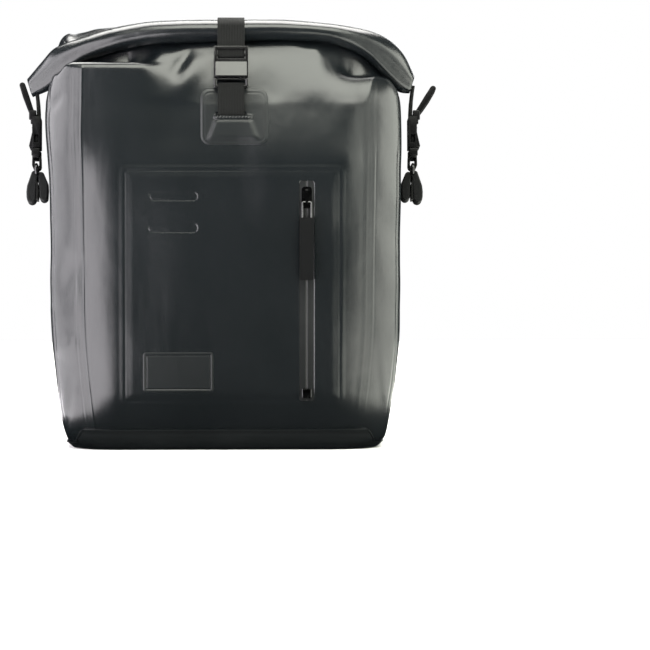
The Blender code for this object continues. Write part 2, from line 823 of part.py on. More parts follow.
def rail_outline(height):
    """T section: a foot against the back, a wider flange, and a groove for the bolt heads."""
    half = (
        (BACK_FACE + 0.0003, 0.009),
        (0.0893, 0.009),
        (0.0893, 0.017),
        (RAIL_FACE, 0.017),
        (RAIL_FACE, 0.0065),
        (0.0913, 0.0065),
    )
    above = [(y, height + z) for y, z in half]
    below = [(y, height - z) for y, z in reversed(half)]
    return above + below


def channel_outline(height):
    """The side of a carriage that grips the rail, from its upper lip round to its lower lip."""
    half = ((0.0859, 0.0095), (0.0889, 0.0095), (0.0889, 0.0174), (0.0946, 0.0174))
    above = [(y, height + z) for y, z in half]
    below = [(y, height - z) for y, z in reversed(half)]
    return above + below


def build_rails():
    for name, height, half_length, bolts in (
        ("top_rail", TOP_RAIL_HEIGHT, TOP_RAIL_HALF_LENGTH, TOP_BOLTS),
        ("lower_rail", LOWER_RAIL_HEIGHT, LOWER_RAIL_HALF_LENGTH, LOWER_BOLTS),
    ):
        rail = outline_solid(name, rail_outline(height), 2 * half_length, TO_YZ, RAIL_PLASTIC)
        bevel(rail, 0.0005)
        for x in bolts:
            cut(rail, bolt_hole(name, x, height))


def build_bolt(name, x, height, head_y):
    """A flush-headed bolt from its head, at head_y, to inside the bag, with its nut."""
    length = head_y - BOLT_INNER_END
    bolt = cylinder(
        f"{name}_bolt",
        BOLT_RADIUS,
        length,
        ALONG_Y,
        (x, BOLT_INNER_END + length / 2, height),
        STEEL,
        sides=12,
    )
    head_middle = (x, head_y + BOLT_HEAD_THICKNESS / 2 - 0.0002, height)
    head = cylinder(f"{name}_head", BOLT_HEAD, BOLT_HEAD_THICKNESS, ALONG_Y, head_middle)
    join(bolt, head)
    nut = cylinder(f"{name}_nut", 0.0046, 0.0032, ALONG_Y, (x, 0.0779, height), STEEL, sides=6)
    cut(nut, bolt_hole(f"{name}_nut", x, height))


def build_bolts():
    for i, x in enumerate(TOP_BOLTS):
        head_y = HANDLE_BOLT_HEAD_Y if abs(x) == HANDLE_BOLT else COUNTERSUNK_HEAD_Y
        build_bolt(f"top_{i + 1}", x, TOP_RAIL_HEIGHT, head_y)
    for i, x in enumerate(LOWER_BOLTS):
        build_bolt(f"lower_{i + 1}", x, LOWER_RAIL_HEIGHT, COUNTERSUNK_HEAD_Y)


def hook_outline():
    """The carriage and its hook in one section: a channel behind, an arch over the tube."""
    middle = (TUBE_Y, TUBE_Z)
    return (
        channel_outline(TOP_RAIL_HEIGHT)
        + [(0.0859, 0.2960), (0.0974, 0.2960), (0.0986, 0.2972)]
        + arc(middle, HOOK_INNER, 180, 0, 8)
        + [(TUBE_Y + HOOK_INNER, 0.3170)]
        + arc(GATE_PIVOT, GATE_TIP, 200, 340, 5)
        + arc(middle, HOOK_OUTER, 0, 110, 6)
        + [(0.0930, 0.3500), (0.0859, 0.3440)]
    )


def build_hook(side, sign):
    frame = add_frame(f"hook_frame_{side}", (sign * HOOK_X, 0, 0))
    hook = outline_solid(
        f"hook_{side}", hook_outline(), 2 * HOOK_HALF_WIDTH, TO_YZ, RAIL_PLASTIC
    )
    bevel(place(hook, parent=frame), 0.0006)
    y, z = GATE_PIVOT
    gap = GATE_HALF_WIDTH + 0.0003
    slot = box("gate_slot", (-gap, y - 0.006, z - 0.010), (gap, y + 0.006, z + 0.0036))
    cut(hook, place(slot, parent=frame))
    bore = cylinder("gate_bore", PIN_BORE, 0.06, ALONG_X, (0, y, z), sides=12)
    cut(hook, place(bore, parent=frame))
    build_gate(side, frame)


def build_gate(side, frame):
    """The sprung gate that closes the hook's mouth, turning on a pin through the hook's tip."""
    pivot = bpy.data.objects.new(f"gate_frame_{side}", None)
    PARTS.objects.link(pivot)
    place(pivot, (0, *GATE_PIVOT), frame)
    outline = arc((0, 0), GATE_TIP, -90, 90, 6) + [(-0.0180, 0.0026), (-0.0188, 0.0016)]
    outline += [(-0.0188, -0.0010), (-0.0180, -0.0020)]
    gate = outline_solid(
        f"hook_gate_{side}", outline, 2 * GATE_HALF_WIDTH, TO_YZ, BUCKLE_PLASTIC
    )
    place(gate, parent=pivot)
    bore = cylinder("gate_eye", PIN_BORE, 0.06, ALONG_X, (0, 0, 0), sides=12)
    cut(gate, place(bore, parent=pivot))
    pin = cylinder(f"gate_pin_{side}", PIN_RADIUS, 0.029, ALONG_X, (0, 0, 0), STEEL, sides=12)
    place(pin, parent=pivot)


def build_lower_hook():
    """A carriage on the lower rail with a hook that swivels about Y on its bolt."""
    frame = add_frame("lower_hook_frame", (0, 0, LOWER_RAIL_HEIGHT))
    outline = channel_outline(0) + [(0.0859, -0.0215), (0.0974, -0.0215), (0.0986, -0.0203)]
    outline += [(0.0986, 0.0203), (0.0974, 0.0215), (0.0859, 0.0215)]
    carriage = outline_solid("lower_carriage", outline, 0.030, TO_YZ, RAIL_PLASTIC)
    bevel(place(carriage, parent=frame), 0.0006)
    hook_section = [
        (-0.0120, 0.0989),
        (0.0120, 0.0989),
        (0.0120, 0.1245),
        (0.0100, 0.1265),
        (-0.0100, 0.1265),
        (-0.0100, 0.1215),
        (0.0070, 0.1215),
        (0.0070, 0.1039),
        (-0.0120, 0.1039),
    ]
    hook = outline_solid("lower_hook", hook_section, 0.016, Matrix.Identity(4), RAIL_PLASTIC)
    bevel(place(hook, parent=frame), 0.0006)
    for obj in (carriage, hook):
        bore = cylinder(
            "swivel_bore",
            BOLT_RADIUS + BOLT_CLEARANCE,
            0.05,
            ALONG_Y,
            (SWIVEL_X, 0.105, 0),
            sides=12,
        )
        cut(obj, place(bore, parent=frame))
    shank = cylinder(
        "lower_hook_bolt", BOLT_RADIUS, 0.0091, ALONG_Y, (SWIVEL_X, 0.09985, 0), STEEL, sides=12
    )
    place(shank, parent=frame)
    head = cylinder("swivel_head", 0.0045, 0.0020, ALONG_Y, (SWIVEL_X, 0.1053, 0))
    join(shank, place(head, parent=frame))


def build_handle():
    """A bail between two mounts on the top rail, hanging down, with a grip on its lower bar."""
    y, z = HANDLE_PIVOT
    for side, sign in (("L", -1), ("R", 1)):
        low, high = sorted((sign * 0.049, sign * 0.061))
        mount = box(
            f"handle_mount_{side}", (low, 0.0946, 0.3080), (high, 0.1066, 0.3420), RAIL_PLASTIC
        )
        bevel(mount, 0.0012, 2)
        cut(mount, cylinder("handle_bore", 0.0038, 0.04, ALONG_X, (sign * 0.055, y, z)))
        cut(mount, bolt_hole("handle_mount", sign * HANDLE_BOLT, TOP_RAIL_HEIGHT))
    frame = add_frame("handle_frame", (0, y, z))
    corner = 0.008
    half = [(0.0605, 0.0), (0.0490, 0.0)]
    half += arc((HANDLE_HALF_WIDTH + 0.004, -0.004), 0.004, 90, 180, 3)
    low_corner = (HANDLE_HALF_WIDTH - corner, -HANDLE_DROP + corner)
    half += arc(low_corner, corner, 0, -90, 4)
    right = [(x, 0, v) for x, v in half]
    left = [(-x, 0, v) for x, v in reversed(half)]
    rod = wire("carry_handle", right + left, HANDLE_RADIUS, RAIL_PLASTIC)
    place(rod, parent=frame)
    inner = HANDLE_RADIUS + 0.0004
    profile = [(inner, 0.034), (0.0072, 0.034), (0.0086, 0.030), (0.0086, -0.030)]
    profile += [(0.0072, -0.034), (inner, -0.034)]
    grip = turned("handle_grip", profile, GRIP_RUBBER)
    grip.data.transform(Matrix.Translation((0, 0, -HANDLE_DROP)))
    place(grip, parent=frame)


def turned(name, profile, material, steps=16):
    """A ring turned about X, from a closed profile of (radius, x) points."""
    rings = []
    for i in range(steps):
        angle = 2 * math.pi * i / steps
        rings.append([(x, -r * math.sin(angle), r * math.cos(angle)) for r, x in profile])
    return loft(name, rings, material, looped=True)


def build():
    build_shell()
    build_base_patch()
    build_boards()
    build_collar()
    build_roll()
    build_pocket()
    build_zip()
    build_front_strap()
    for side, sign in (("L", -1), ("R", 1)):
        build_side_strap(side, sign)
        build_hook(side, sign)
    build_rails()
    build_bolts()
    build_lower_hook()
    build_handle()


build()
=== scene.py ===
"""Looks of a roll-top saddle bag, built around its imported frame.

Metres, +Z up, front towards -Y. Pieces: one continuous coated-fabric skin, the roll, welded front
panels, webbing, buckles and hardware, each with a procedural material.
"""

import math

import bmesh
import bpy
import numpy as np
from mathutils import Matrix, Vector, noise
from mathutils.bvhtree import BVHTree


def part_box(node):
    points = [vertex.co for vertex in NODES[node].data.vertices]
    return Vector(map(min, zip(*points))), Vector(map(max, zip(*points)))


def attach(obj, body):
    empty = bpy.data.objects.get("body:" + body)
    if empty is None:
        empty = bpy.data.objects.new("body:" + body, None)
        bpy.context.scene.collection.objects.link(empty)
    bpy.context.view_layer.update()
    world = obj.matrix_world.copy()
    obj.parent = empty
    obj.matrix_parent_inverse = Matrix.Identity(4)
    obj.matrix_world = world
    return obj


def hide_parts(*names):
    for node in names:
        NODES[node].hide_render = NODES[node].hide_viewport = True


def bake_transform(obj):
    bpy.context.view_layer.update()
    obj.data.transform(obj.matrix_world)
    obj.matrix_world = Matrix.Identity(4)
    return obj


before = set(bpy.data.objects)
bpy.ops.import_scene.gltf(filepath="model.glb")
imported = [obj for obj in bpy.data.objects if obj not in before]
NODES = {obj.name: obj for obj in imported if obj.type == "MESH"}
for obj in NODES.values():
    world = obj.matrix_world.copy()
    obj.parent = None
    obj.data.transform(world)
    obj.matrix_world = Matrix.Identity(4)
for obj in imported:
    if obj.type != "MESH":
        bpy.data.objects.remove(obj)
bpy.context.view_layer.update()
MM = 0.001


# ---------------------------------------------------------------- materials


def node(tree, kind, inputs=None, **settings):
    made = tree.nodes.new("ShaderNode" + kind)
    for key, value in settings.items():
        setattr(made, key, value)
    for key, value in (inputs or {}).items():
        if isinstance(value, bpy.types.NodeSocket):
            tree.links.new(value, made.inputs[key])
        else:
            made.inputs[key].default_value = value
    return made


def ramp(tree, factor, low, high, dark, light):
    """The factor stretched from low..high to the two values or colours."""
    made = node(tree, "ValToRGB", {"Fac": factor})
    stops = made.color_ramp.elements
    for stop, place, value in zip(stops, (low, high), (dark, light)):
        stop.position = place
        stop.color = value if isinstance(value, tuple) else (value, value, value, 1)
    return made.outputs["Color"]


def base_material(name, roughness, metallic=0.0, gloss=0.5):
    material = bpy.data.materials.new(name)
    material.use_nodes = True
    tree = material.node_tree
    shader = tree.nodes["Principled BSDF"]
    shader.inputs["Roughness"].default_value = roughness
    shader.inputs["Metallic"].default_value = metallic
    shader.inputs["Specular IOR Level"].default_value = gloss
    return material, tree, shader


def noise_of(tree, coordinates, scale, detail=4.0, stretch=(1, 1, 1)):
    placed = node(tree, "Mapping", {"Vector": coordinates, "Scale": stretch}).outputs[0]
    return node(tree, "TexNoise", {"Vector": placed, "Scale": scale, "Detail": detail}).outputs["Fac"]


def wave_of(tree, coordinates, axis, scale, **inputs):
    inputs = {"Vector": coordinates, "Scale": scale, **inputs}
    return node(tree, "TexWave", inputs, bands_direction=axis).outputs["Fac"]


def bump(tree, height, depth, below=None):
    inputs = {"Height": height, "Distance": depth}
    if below is not None:
        inputs["Normal"] = below
    return node(tree, "Bump", inputs).outputs["Normal"]


def surface(name, dark, light, roughness, spread, grain, blotch=18, metallic=0.0, gloss=0.5):
    """Colour and roughness that vary in blotches, with layers of grain as (scale, depth) bumps."""
    material, tree, shader = base_material(name, roughness, metallic, gloss)
    place = node(tree, "TexCoord").outputs["Object"]
    patches = noise_of(tree, place, blotch)
    colour = ramp(tree, patches, 0.3, 0.7, (*dark, 1), (*light, 1))
    tree.links.new(colour, shader.inputs["Base Color"])
    worn = noise_of(tree, place, blotch * 3.1, 6)
    rough = ramp(tree, worn, 0.3, 0.7, roughness - spread, roughness + spread)
    tree.links.new(rough, shader.inputs["Roughness"])
    normal = None
    for scale, depth in grain:
        normal = bump(tree, noise_of(tree, place, scale, 3), depth, normal)
    tree.links.new(normal, shader.inputs["Normal"])
    return material


def coated_fabric(name, dark, light, roughness, gloss=0.5):
    """Welded tarpaulin: a fine grain, the scrim's weave just showing through, soft cockles."""
    material, tree, shader = base_material(name, roughness, gloss=gloss)
    place = node(tree, "TexCoord").outputs["Object"]
    patches = noise_of(tree, place, 9, 5)
    colour = ramp(tree, patches, 0.3, 0.72, (*dark, 1), (*light, 1))
    tree.links.new(colour, shader.inputs["Base Color"])
    scuffs = noise_of(tree, place, 22, 3, (1, 1, 0.6))
    rough = ramp(tree, scuffs, 0.2, 0.8, roughness - 0.012, roughness + 0.018)
    tree.links.new(rough, shader.inputs["Roughness"])
    normal = bump(tree, noise_of(tree, place, 26, 3, (1, 1, 0.5)), 0.0011)
    threads = [wave_of(tree, place, axis, 190.0, Distortion=1.5, Detail=1.0) for axis in ("X", "Z")]
    weave = node(tree, "Math", {0: threads[0], 1: threads[1]}, operation="MULTIPLY").outputs[0]
    normal = bump(tree, weave, 0.00002, normal)
    normal = bump(tree, noise_of(tree, place, 1500, 2), 0.00004, normal)
    tree.links.new(normal, shader.inputs["Normal"])
    return material


def webbing_material():
    """Flat nylon webbing: ribs along its length, crossed by weft picks, on the strip's own UVs."""
    material, tree, shader = base_material("webbing", 0.85, gloss=0.15)
    place = node(tree, "UVMap", uv_map="strip").outputs["UV"]
    uneven = {"Distortion": 0.6, "Detail": 1.0, "Detail Scale": 3.0}
    ribs = wave_of(tree, place, "X", 210.0, **uneven)
    picks = wave_of(tree, place, "Y", 330.0, **uneven)
    weave = node(tree, "Math", {0: ribs, 1: picks}, operation="MULTIPLY").outputs[0]
    colour = ramp(tree, weave, 0.05, 0.75, (0.0010, 0.0012, 0.0011, 1), (0.0065, 0.0072, 0.0068, 1))
    tree.links.new(colour, shader.inputs["Base Color"])
    normal = bump(tree, weave, 0.00035)
    fuzz = noise_of(tree, place, 2600, 3)
    tree.links.new(bump(tree, fuzz, 0.00008, normal), shader.inputs["Normal"])
    shader.inputs["Sheen Weight"].default_value = 0.04
    shader.inputs["Sheen Roughness"].default_value = 0.5
    return material


def rubber_material():
    """Moulded grip rubber, matt, with fine ribs round its length."""
    material, tree, shader = base_material("grip_rubber", 0.75)
    place = node(tree, "TexCoord").outputs["Object"]
    patches = noise_of(tree, place, 60)
    colour = ramp(tree, patches, 0.3, 0.7, (0.0045, 0.0045, 0.005, 1), (0.009, 0.009, 0.0095, 1))
    tree.links.new(colour, shader.inputs["Base Color"])
    ribs = wave_of(tree, place, "X", 90.0)
    normal = bump(tree, noise_of(tree, place, 1400), 0.00006, bump(tree, ribs, 0.0008))
    tree.links.new(normal, shader.inputs["Normal"])
    return material


COATED = coated_fabric("coated_fabric", (0.0027, 0.0039, 0.0046), (0.0044, 0.0057, 0.0066), 0.255)
PATCH = coated_fabric("patch_fabric", (0.0042, 0.0054, 0.0060), (0.0066, 0.0080, 0.0086), 0.36, 0.34)
WEBBING = webbing_material()
BUCKLE = surface(
    "buckle_plastic", (0.0025, 0.0025, 0.0027), (0.0045, 0.0045, 0.0047), 0.20, 0.03, ((700, 0.00005),)
)
# The side buckles' and levers' copy of the buckle plastic: its darker colour is painted shade, which keeps
# them dark where the side softboxes light them.
SHADED_SIDE_PLASTIC = surface(
    "side_plastic_painted_shade", (0.0016, 0.0016, 0.0018), (0.0032, 0.0032, 0.0034), 0.36, 0.05, ((700, 0.00006),),
    gloss=0.10,
)
RAIL = surface(
    "rail_plastic", (0.012, 0.012, 0.013), (0.02, 0.02, 0.021), 0.5, 0.06, ((900, 0.00012),), 40
)
BOARD = surface("board_plastic", (0.03, 0.03, 0.03), (0.05, 0.05, 0.05), 0.6, 0.05, ((500, 0.0001),))
ZIP = surface(
    "zip_coating", (0.0055, 0.0060, 0.0064), (0.0090, 0.0097, 0.0100), 0.36, 0.05, ((1100, 0.00004),),
    gloss=0.25,
)
METAL = surface(
    "black_metal", (0.030, 0.030, 0.031), (0.06, 0.06, 0.061), 0.22, 0.06, ((1200, 0.00002),), 60, 1.0
)
STEEL = surface(
    "steel", (0.42, 0.42, 0.43), (0.6, 0.6, 0.61), 0.33, 0.08, ((1600, 0.00003),), 90, 1.0
)
RUBBER = rubber_material()
FOLD = coated_fabric("strap_fold", (0.0020, 0.0022, 0.0024), (0.0036, 0.0039, 0.0041), 0.45, 0.12)
THREAD = surface("thread", (0.02, 0.021, 0.021), (0.05, 0.052, 0.052), 0.6, 0.05, ((3000, 0.0001),), 300)
BY_SLOT = {
    "coated_fabric": COATED,
    "patch_fabric": PATCH,
    "webbing": WEBBING,
    "buckle_plastic": BUCKLE,
    "rail_plastic": RAIL,
    "board_plastic": BOARD,
    "zip_coating": ZIP,
    "black_metal": METAL,
    "steel": STEEL,
    "grip_rubber": RUBBER,
}


# ---------------------------------------------------------------- mesh helpers


def finish_piece(obj, material, body, replaced=(), crease=35):
    """Gives a new piece its finish, its body and the CAD nodes that it stands for."""
    obj.data.materials.clear()
    obj.data.materials.append(material)
    obj.data.shade_smooth()
    if crease:
        obj.data.set_sharp_from_angle(angle=math.radians(crease))
    if body:
        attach(obj, body)
    if replaced:
        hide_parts(*replaced)


def add_object(name, data):
    obj = bpy.data.objects.new(name, data)
    bpy.context.scene.collection.objects.link(obj)
    return obj


def add_mesh(name, vertices, faces):
    mesh = bpy.data.meshes.new(name)
    mesh.from_pydata([tuple(v) for v in vertices], [], faces)
    mesh.validate()
    return add_object(name, mesh)


def grid_faces(rows, columns, closed=False):
    faces = []
    for i in range(rows - 1):
        for j in range(columns if closed else columns - 1):
            k = (j + 1) % columns
            faces.append((i * columns + j, i * columns + k, (i + 1) * columns + k, (i + 1) * columns + j))
    return faces


def from_bmesh(name, shape):
    mesh = bpy.data.meshes.new(name)
    bmesh.ops.recalc_face_normals(shape, faces=shape.faces)
    shape.to_mesh(mesh)
    shape.free()
    return add_object(name, mesh)


def catmull(keys, steps):
    """Rows through the key rows on a Catmull-Rom curve, with a number of steps for each span."""
    keys = np.asarray(keys, float)
    ends = np.concatenate([2 * keys[:1] - keys[1:2], keys, 2 * keys[-1:] - keys[-2:-1]])
    rows = []
    for i in range(len(keys) - 1):
        a, b, c, d = ends[i : i + 4]
        for t in np.arange(steps[i]) / steps[i]:
            curved = (2 * a - 5 * b + 4 * c - d) * t**2 + (3 * b - a - 3 * c + d) * t**3
            rows.append(0.5 * (2 * b + (c - a) * t + curved))
    rows.append(keys[-1])
    return np.array(rows)


def smoothstep(low, high, value):
    t = np.clip((np.asarray(value, float) - low) / (high - low), 0, 1)
    return t * t * (3 - 2 * t)


def wave_noise(points, size, seed):
    """Smooth noise, about -1 to 1, at each point; size is the length of one swell, per axis."""
    scaled = points / np.asarray(size) + np.array((seed, 2.3 * seed, 5.7))
    return np.array([noise.noise(Vector(p)) for p in scaled.reshape(-1, 3)]).reshape(points.shape[:-1])


def grid_normals(points, closed):
    around = np.roll(points, -1, 1) - np.roll(points, 1, 1)
    if not closed:
        around[:, 0] = points[:, 1] - points[:, 0]
        around[:, -1] = points[:, -1] - points[:, -2]
    up = np.gradient(points, axis=0)
    normals = np.cross(around, up)
    return normals / np.maximum(np.linalg.norm(normals, axis=-1, keepdims=True), 1e-12)


def rounded_box(name, low, high, radius, cutters=()):
    """A box with rounded edges, and what the cutters, as (low, high) boxes, take out of it."""
    obj = cube(name, low, high)
    cutters = [cube(name + "_cut", *corners) for corners in cutters]
    for cutter in cutters:
        modifier = obj.modifiers.new("cut", "BOOLEAN")
        modifier.object = cutter
        modifier.operation = "DIFFERENCE"
    apply_modifiers(obj)
    for cutter in cutters:
        bpy.data.objects.remove(cutter)
    return round_edges(obj, radius)


def cube(name, low, high):
    low, high = Vector(low), Vector(high)
    shape = bmesh.new()
    bmesh.ops.create_cube(shape, size=1)
    bmesh.ops.scale(shape, vec=high - low, verts=shape.verts)
    bmesh.ops.translate(shape, vec=(low + high) / 2, verts=shape.verts)
    return from_bmesh(name, shape)


def apply_modifiers(obj):
    graph = bpy.context.evaluated_depsgraph_get()
    graph.update()
    mesh = bpy.data.meshes.new_from_object(obj.evaluated_get(graph))
    old, obj.data = obj.data, mesh
    bpy.data.meshes.remove(old)
    obj.modifiers.clear()
    return obj


def round_edges(obj, radius, segments=3, angle=35):
    modifier = obj.modifiers.new("edges", "BEVEL")
    modifier.width = radius
    modifier.segments = segments
    modifier.limit_method = "ANGLE"
    modifier.angle_limit = math.radians(angle)
    return obj


def thicken(obj, thickness, offset):
    modifier = obj.modifiers.new("wall", "SOLIDIFY")
    modifier.thickness = thickness
    modifier.offset = offset
    return obj


def join_all(name, parts):
    """The parts as one object, their modifiers applied."""
    shape = bmesh.new()
    for part in parts:
        apply_modifiers(part)
        part.data.transform(part.matrix_world)
        shape.from_mesh(part.data)
        bpy.data.objects.remove(part)
    return from_bmesh(name, shape)


def rod(name, points, radius, closed=False, resolution=5):
    """A round wire through the points, as a mesh."""
    curve = bpy.data.curves.new(name, "CURVE")
    curve.dimensions = "3D"
    curve.bevel_depth = radius
    curve.bevel_resolution = resolution
    curve.use_fill_caps = not closed
    spline = curve.splines.new("POLY")
    spline.points.add(len(points) - 1)
    for point, place in zip(spline.points, points):
        point.co = (*place, 1)
    spline.use_cyclic_u = closed
    obj = add_object(name, curve)
    graph = bpy.context.evaluated_depsgraph_get()
    mesh = bpy.data.meshes.new_from_object(obj.evaluated_get(graph))
    bpy.data.objects.remove(obj)
    return add_object(name, mesh)


def arc(centre, radius, start, end, steps):
    angles = [math.radians(start + (end - start) * i / steps) for i in range(steps + 1)]
    return [(centre[0] + radius * math.cos(a), centre[1] + radius * math.sin(a)) for a in angles]


def rounded_rectangle(low_u, high_u, low_v, high_v, radius, steps):
    corners = (
        ((high_u - radius, low_v + radius), 270),
        ((high_u - radius, high_v - radius), 0),
        ((low_u + radius, high_v - radius), 90),
        ((low_u + radius, low_v + radius), 180),
    )
    return [p for centre, start in corners for p in arc(centre, radius, start, start + 90, steps)]


def webbing_strip(name, path, width, thickness=0.0016, closed=False, edge=0.0005):
    """Webbing along a path of (middle, across) vector pairs, with rounded edges and its own UVs."""
    half, thick = width / 2, thickness / 2
    section = [(-half, -thick + edge), (-half + edge, -thick), (half - edge, -thick), (half, -thick + edge)]
    section += [(-u, -v) for u, v in section]
    flat = np.array([p[0] for p in path], float)
    across = np.array([p[1] for p in path], float)
    along = np.gradient(flat, axis=0)
    if closed:
        along = np.roll(flat, -1, 0) - np.roll(flat, 1, 0)
    out = np.cross(along, across)
    out /= np.linalg.norm(out, axis=1, keepdims=True)
    run = np.concatenate([[0], np.cumsum(np.linalg.norm(np.diff(flat, axis=0), axis=1))])
    shape = bmesh.new()
    layer = shape.loops.layers.uv.new("strip")
    rows = [
        [shape.verts.new(m + a * u + o * v) for u, v in section]
        for m, a, o in zip(flat, across, out)
    ]
    count = len(section)
    for i in range(len(rows) if closed else len(rows) - 1):
        j = (i + 1) % len(rows)
        end = run[j] if j else run[-1] + np.linalg.norm(flat[0] - flat[-1])
        for k in range(count):
            m = (k + 1) % count
            face = shape.faces.new((rows[i][k], rows[i][m], rows[j][m], rows[j][k]))
            corners = ((k, run[i]), (m, run[i]), (m, end), (k, end))
            for loop, (edge_point, along_strip) in zip(face.loops, corners):
                loop[layer].uv = (section[edge_point][0], along_strip)
    if not closed:
        for row in (rows[0], rows[-1]):
            face = shape.faces.new(row)
            for loop, (u, v) in zip(face.loops, section):
                loop[layer].uv = (u, v)
    return from_bmesh(name, shape)


def stitches(name, middles, half, radius, body):
    """Short thread stitches through the middles, each reaching half to both sides."""
    half = Vector(half)
    parts = [rod(name + "_part", (Vector(m) - half, Vector(m) + half), radius, resolution=2) for m in middles]
    finish_piece(join_all(name, parts), THREAD, body)


# ---------------------------------------------------------------- bag skin

SHELL_HEIGHTS = (0.0018, 0.010, 0.030, 0.050, 0.070, 0.120, 0.200, 0.260, 0.300, 0.325)
SHELL_CORNER = 0.034
ROW_STEP = 0.0035
# How the front falls away on each side: the depth, where it starts, and the share by height.
BOWS = {
    -1: (0.0075, 0.103, (0.0, 0.03, 0.06, 0.20, 0.26, 0.30), (0.20, 0.5, 1.0, 1.0, 0.7, 0.25)),
    1: (0.0048, 0.112, (0.0, 0.06), (0.3, 1.0)),
}
BOW_POWER = 1.6
CORNER_PULL = 1.25
LEAST_BOW_LENGTH = 0.022
SKIN_THICKNESS = 0.0010
SOFTENING_ROUNDS = 12

# Roll: (x, top z, bottom z) from the middle to each tip, and how its middle runs back.
ROLL_LEFT = (
    (0.000, 0.4080, 0.3860),
    (-0.040, 0.4078, 0.3858),
    (-0.081, 0.4050, 0.3825),
    (-0.112, 0.3985, 0.3750),
    (-0.139, 0.3900, 0.3640),
    (-0.150, 0.3860, 0.3560),
    (-0.161, 0.3795, 0.3475),
    (-0.171, 0.3680, 0.3415),
    (-0.180, 0.3580, 0.3375),
    (-0.186, 0.3515, 0.3350),
)
ROLL_RIGHT = (
    (0.000, 0.4080, 0.3860),
    (0.060, 0.4076, 0.3885),
    (0.107, 0.4040, 0.3840),
    (0.125, 0.4010, 0.3770),
    (0.139, 0.3975, 0.3680),
    (0.150, 0.3925, 0.3570),
    (0.161, 0.3830, 0.3470),
    (0.170, 0.3710, 0.3405),
    (0.1755, 0.3610, 0.3390),
    (0.1790, 0.3550, 0.3390),
)
ROLL_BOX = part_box("roll_fabric")
ROLL_SPAN = 0.188
ROLL_Y = ROLL_BOX[0].y + 0.023
ROLL_RUN_BACK = 0.030

# Fold profiles of the skin above the shoulder: (inward from the wall, height), in millimetres.
EAR_LEFT = ((2, 345), (3.8, 363), (4.8, 366.0), (6.4, 366.2), (17, 360), (28, 357))
EAR_LEFT_CORNER = ((1, 337), (2.6, 349), (4.0, 353.5), (6.0, 353.8), (12, 351), (18, 353))
FACET_EDGE = ((2, 345), (3.8, 362), (4.9, 366.3), (7.0, 367.2), (13, 363.5), (22, 361))
FACET = ((0.7, 334.5), (3.0, 347), (6.0, 357), (10.5, 366.5), (15.5, 375), (21, 380.5))
CENTRE = ((1, 330), (4.2, 344), (8.2, 357), (12.5, 368), (17.5, 377), (22, 385.0))
RIGHT_BAND = ((1.5, 331), (5.5, 343.5), (10, 356), (15, 367), (20, 377), (24, 385.5))
FOLD_START = ((2, 334), (5.2, 345), (9.2, 355), (13.5, 364), (18, 373), (22, 381))
DIMPLE = ((2, 332), (5.2, 341), (9.0, 348.5), (14, 354), (19, 361), (24, 372))
EAR_RIGHT = ((2.5, 331.5), (5.8, 340), (10, 347.5), (15.5, 353), (21, 354.5), (29, 352))
EAR_RIGHT_CORNER = ((2, 331.5), (4.5, 339.5), (8, 346.5), (12, 351), (16, 352.5), (20, 352))
GUSSET_FRONT = ((1.5, 334), (4, 341), (8, 346.5), (11, 349), (14, 351.5), (16, 355))
GUSSET = ((2, 335), (6, 342), (11, 347), (16, 351), (22, 354), (28, 357))
GUSSET_REAR = ((1, 340), (4, 352), (9, 364), (18, 376), (32, 386), (55, 390))
ROOF_CORNER = ((1, 345), (4, 362), (9, 377), (17, 387), (34, 394), (68, 397))
ROOF = ((0, 343), (1.5, 360), (8, 377), (22, 389), (48, 397), (86, 401.5))
ROOF_CREST = 0.4090
ROOF_FALL = 0.0082
# Where each profile holds: -1..1 along the front, then a unit for each corner and side, anticlockwise.
FOLDS = (
    (-0.99, EAR_LEFT), (-0.70, EAR_LEFT), (-0.645, FACET_EDGE), (-0.43, FACET),
    (-0.10, CENTRE), (0.12, CENTRE), (0.45, RIGHT_BAND), (0.64, FOLD_START),
    (0.79, DIMPLE), (0.90, EAR_RIGHT), (1.15, EAR_RIGHT), (1.55, EAR_RIGHT_CORNER),
    (2.0, GUSSET_FRONT), (2.45, GUSSET), (3.0, GUSSET_REAR), (3.5, ROOF_CORNER),
    (4.1, ROOF), (5.9, ROOF), (6.5, ROOF_CORNER), (7.0, GUSSET_REAR),
    (7.55, GUSSET), (8.0, GUSSET_FRONT), (8.45, EAR_LEFT_CORNER), (8.80, EAR_LEFT), (9.01, EAR_LEFT),
)
FOLD_STEPS = (6, 6, 3, 3, 8, 6, 5)


def shell_rings():
    """Half width, front and back of the CAD shell at each of its ring heights."""
    points = np.array([v.co for v in NODES["main_shell"].data.vertices])
    sizes = []
    for height in SHELL_HEIGHTS:
        ring = points[np.abs(points[:, 2] - height) < 0.0004]
        sizes.append((height, ring[:, 0].max(), ring[:, 1].min(), ring[:, 1].max()))
    return np.array(sizes)


def column_clocks():
    """Column positions: -1..1 along the front, then one unit for each corner and side."""
    front = np.concatenate(
        [np.linspace(-1, -0.9, 12, False), np.linspace(-0.9, 0.9, 96, False), np.linspace(0.9, 1, 12, False)]
    )
    spans = ((1, 1.3, 26), (1.3, 2, 26), (2, 3, 32), (3, 4, 22), (4, 6, 64), (6, 7, 22), (7, 8, 32))
    spans += ((8, 8.7, 26), (8.7, 9, 26))
    return np.concatenate([front] + [np.linspace(a, b, n, False) for a, b, n in spans])


CLOCKS = column_clocks()


def hermite(t, start, enter, end, leave):
    """A cubic from start to end with these slopes."""
    first = (2 * t**3 - 3 * t**2 + 1) * start + (t**3 - 2 * t**2 + t) * enter
    return first + (3 * t**2 - 2 * t**3) * end + (t**3 - t**2) * leave


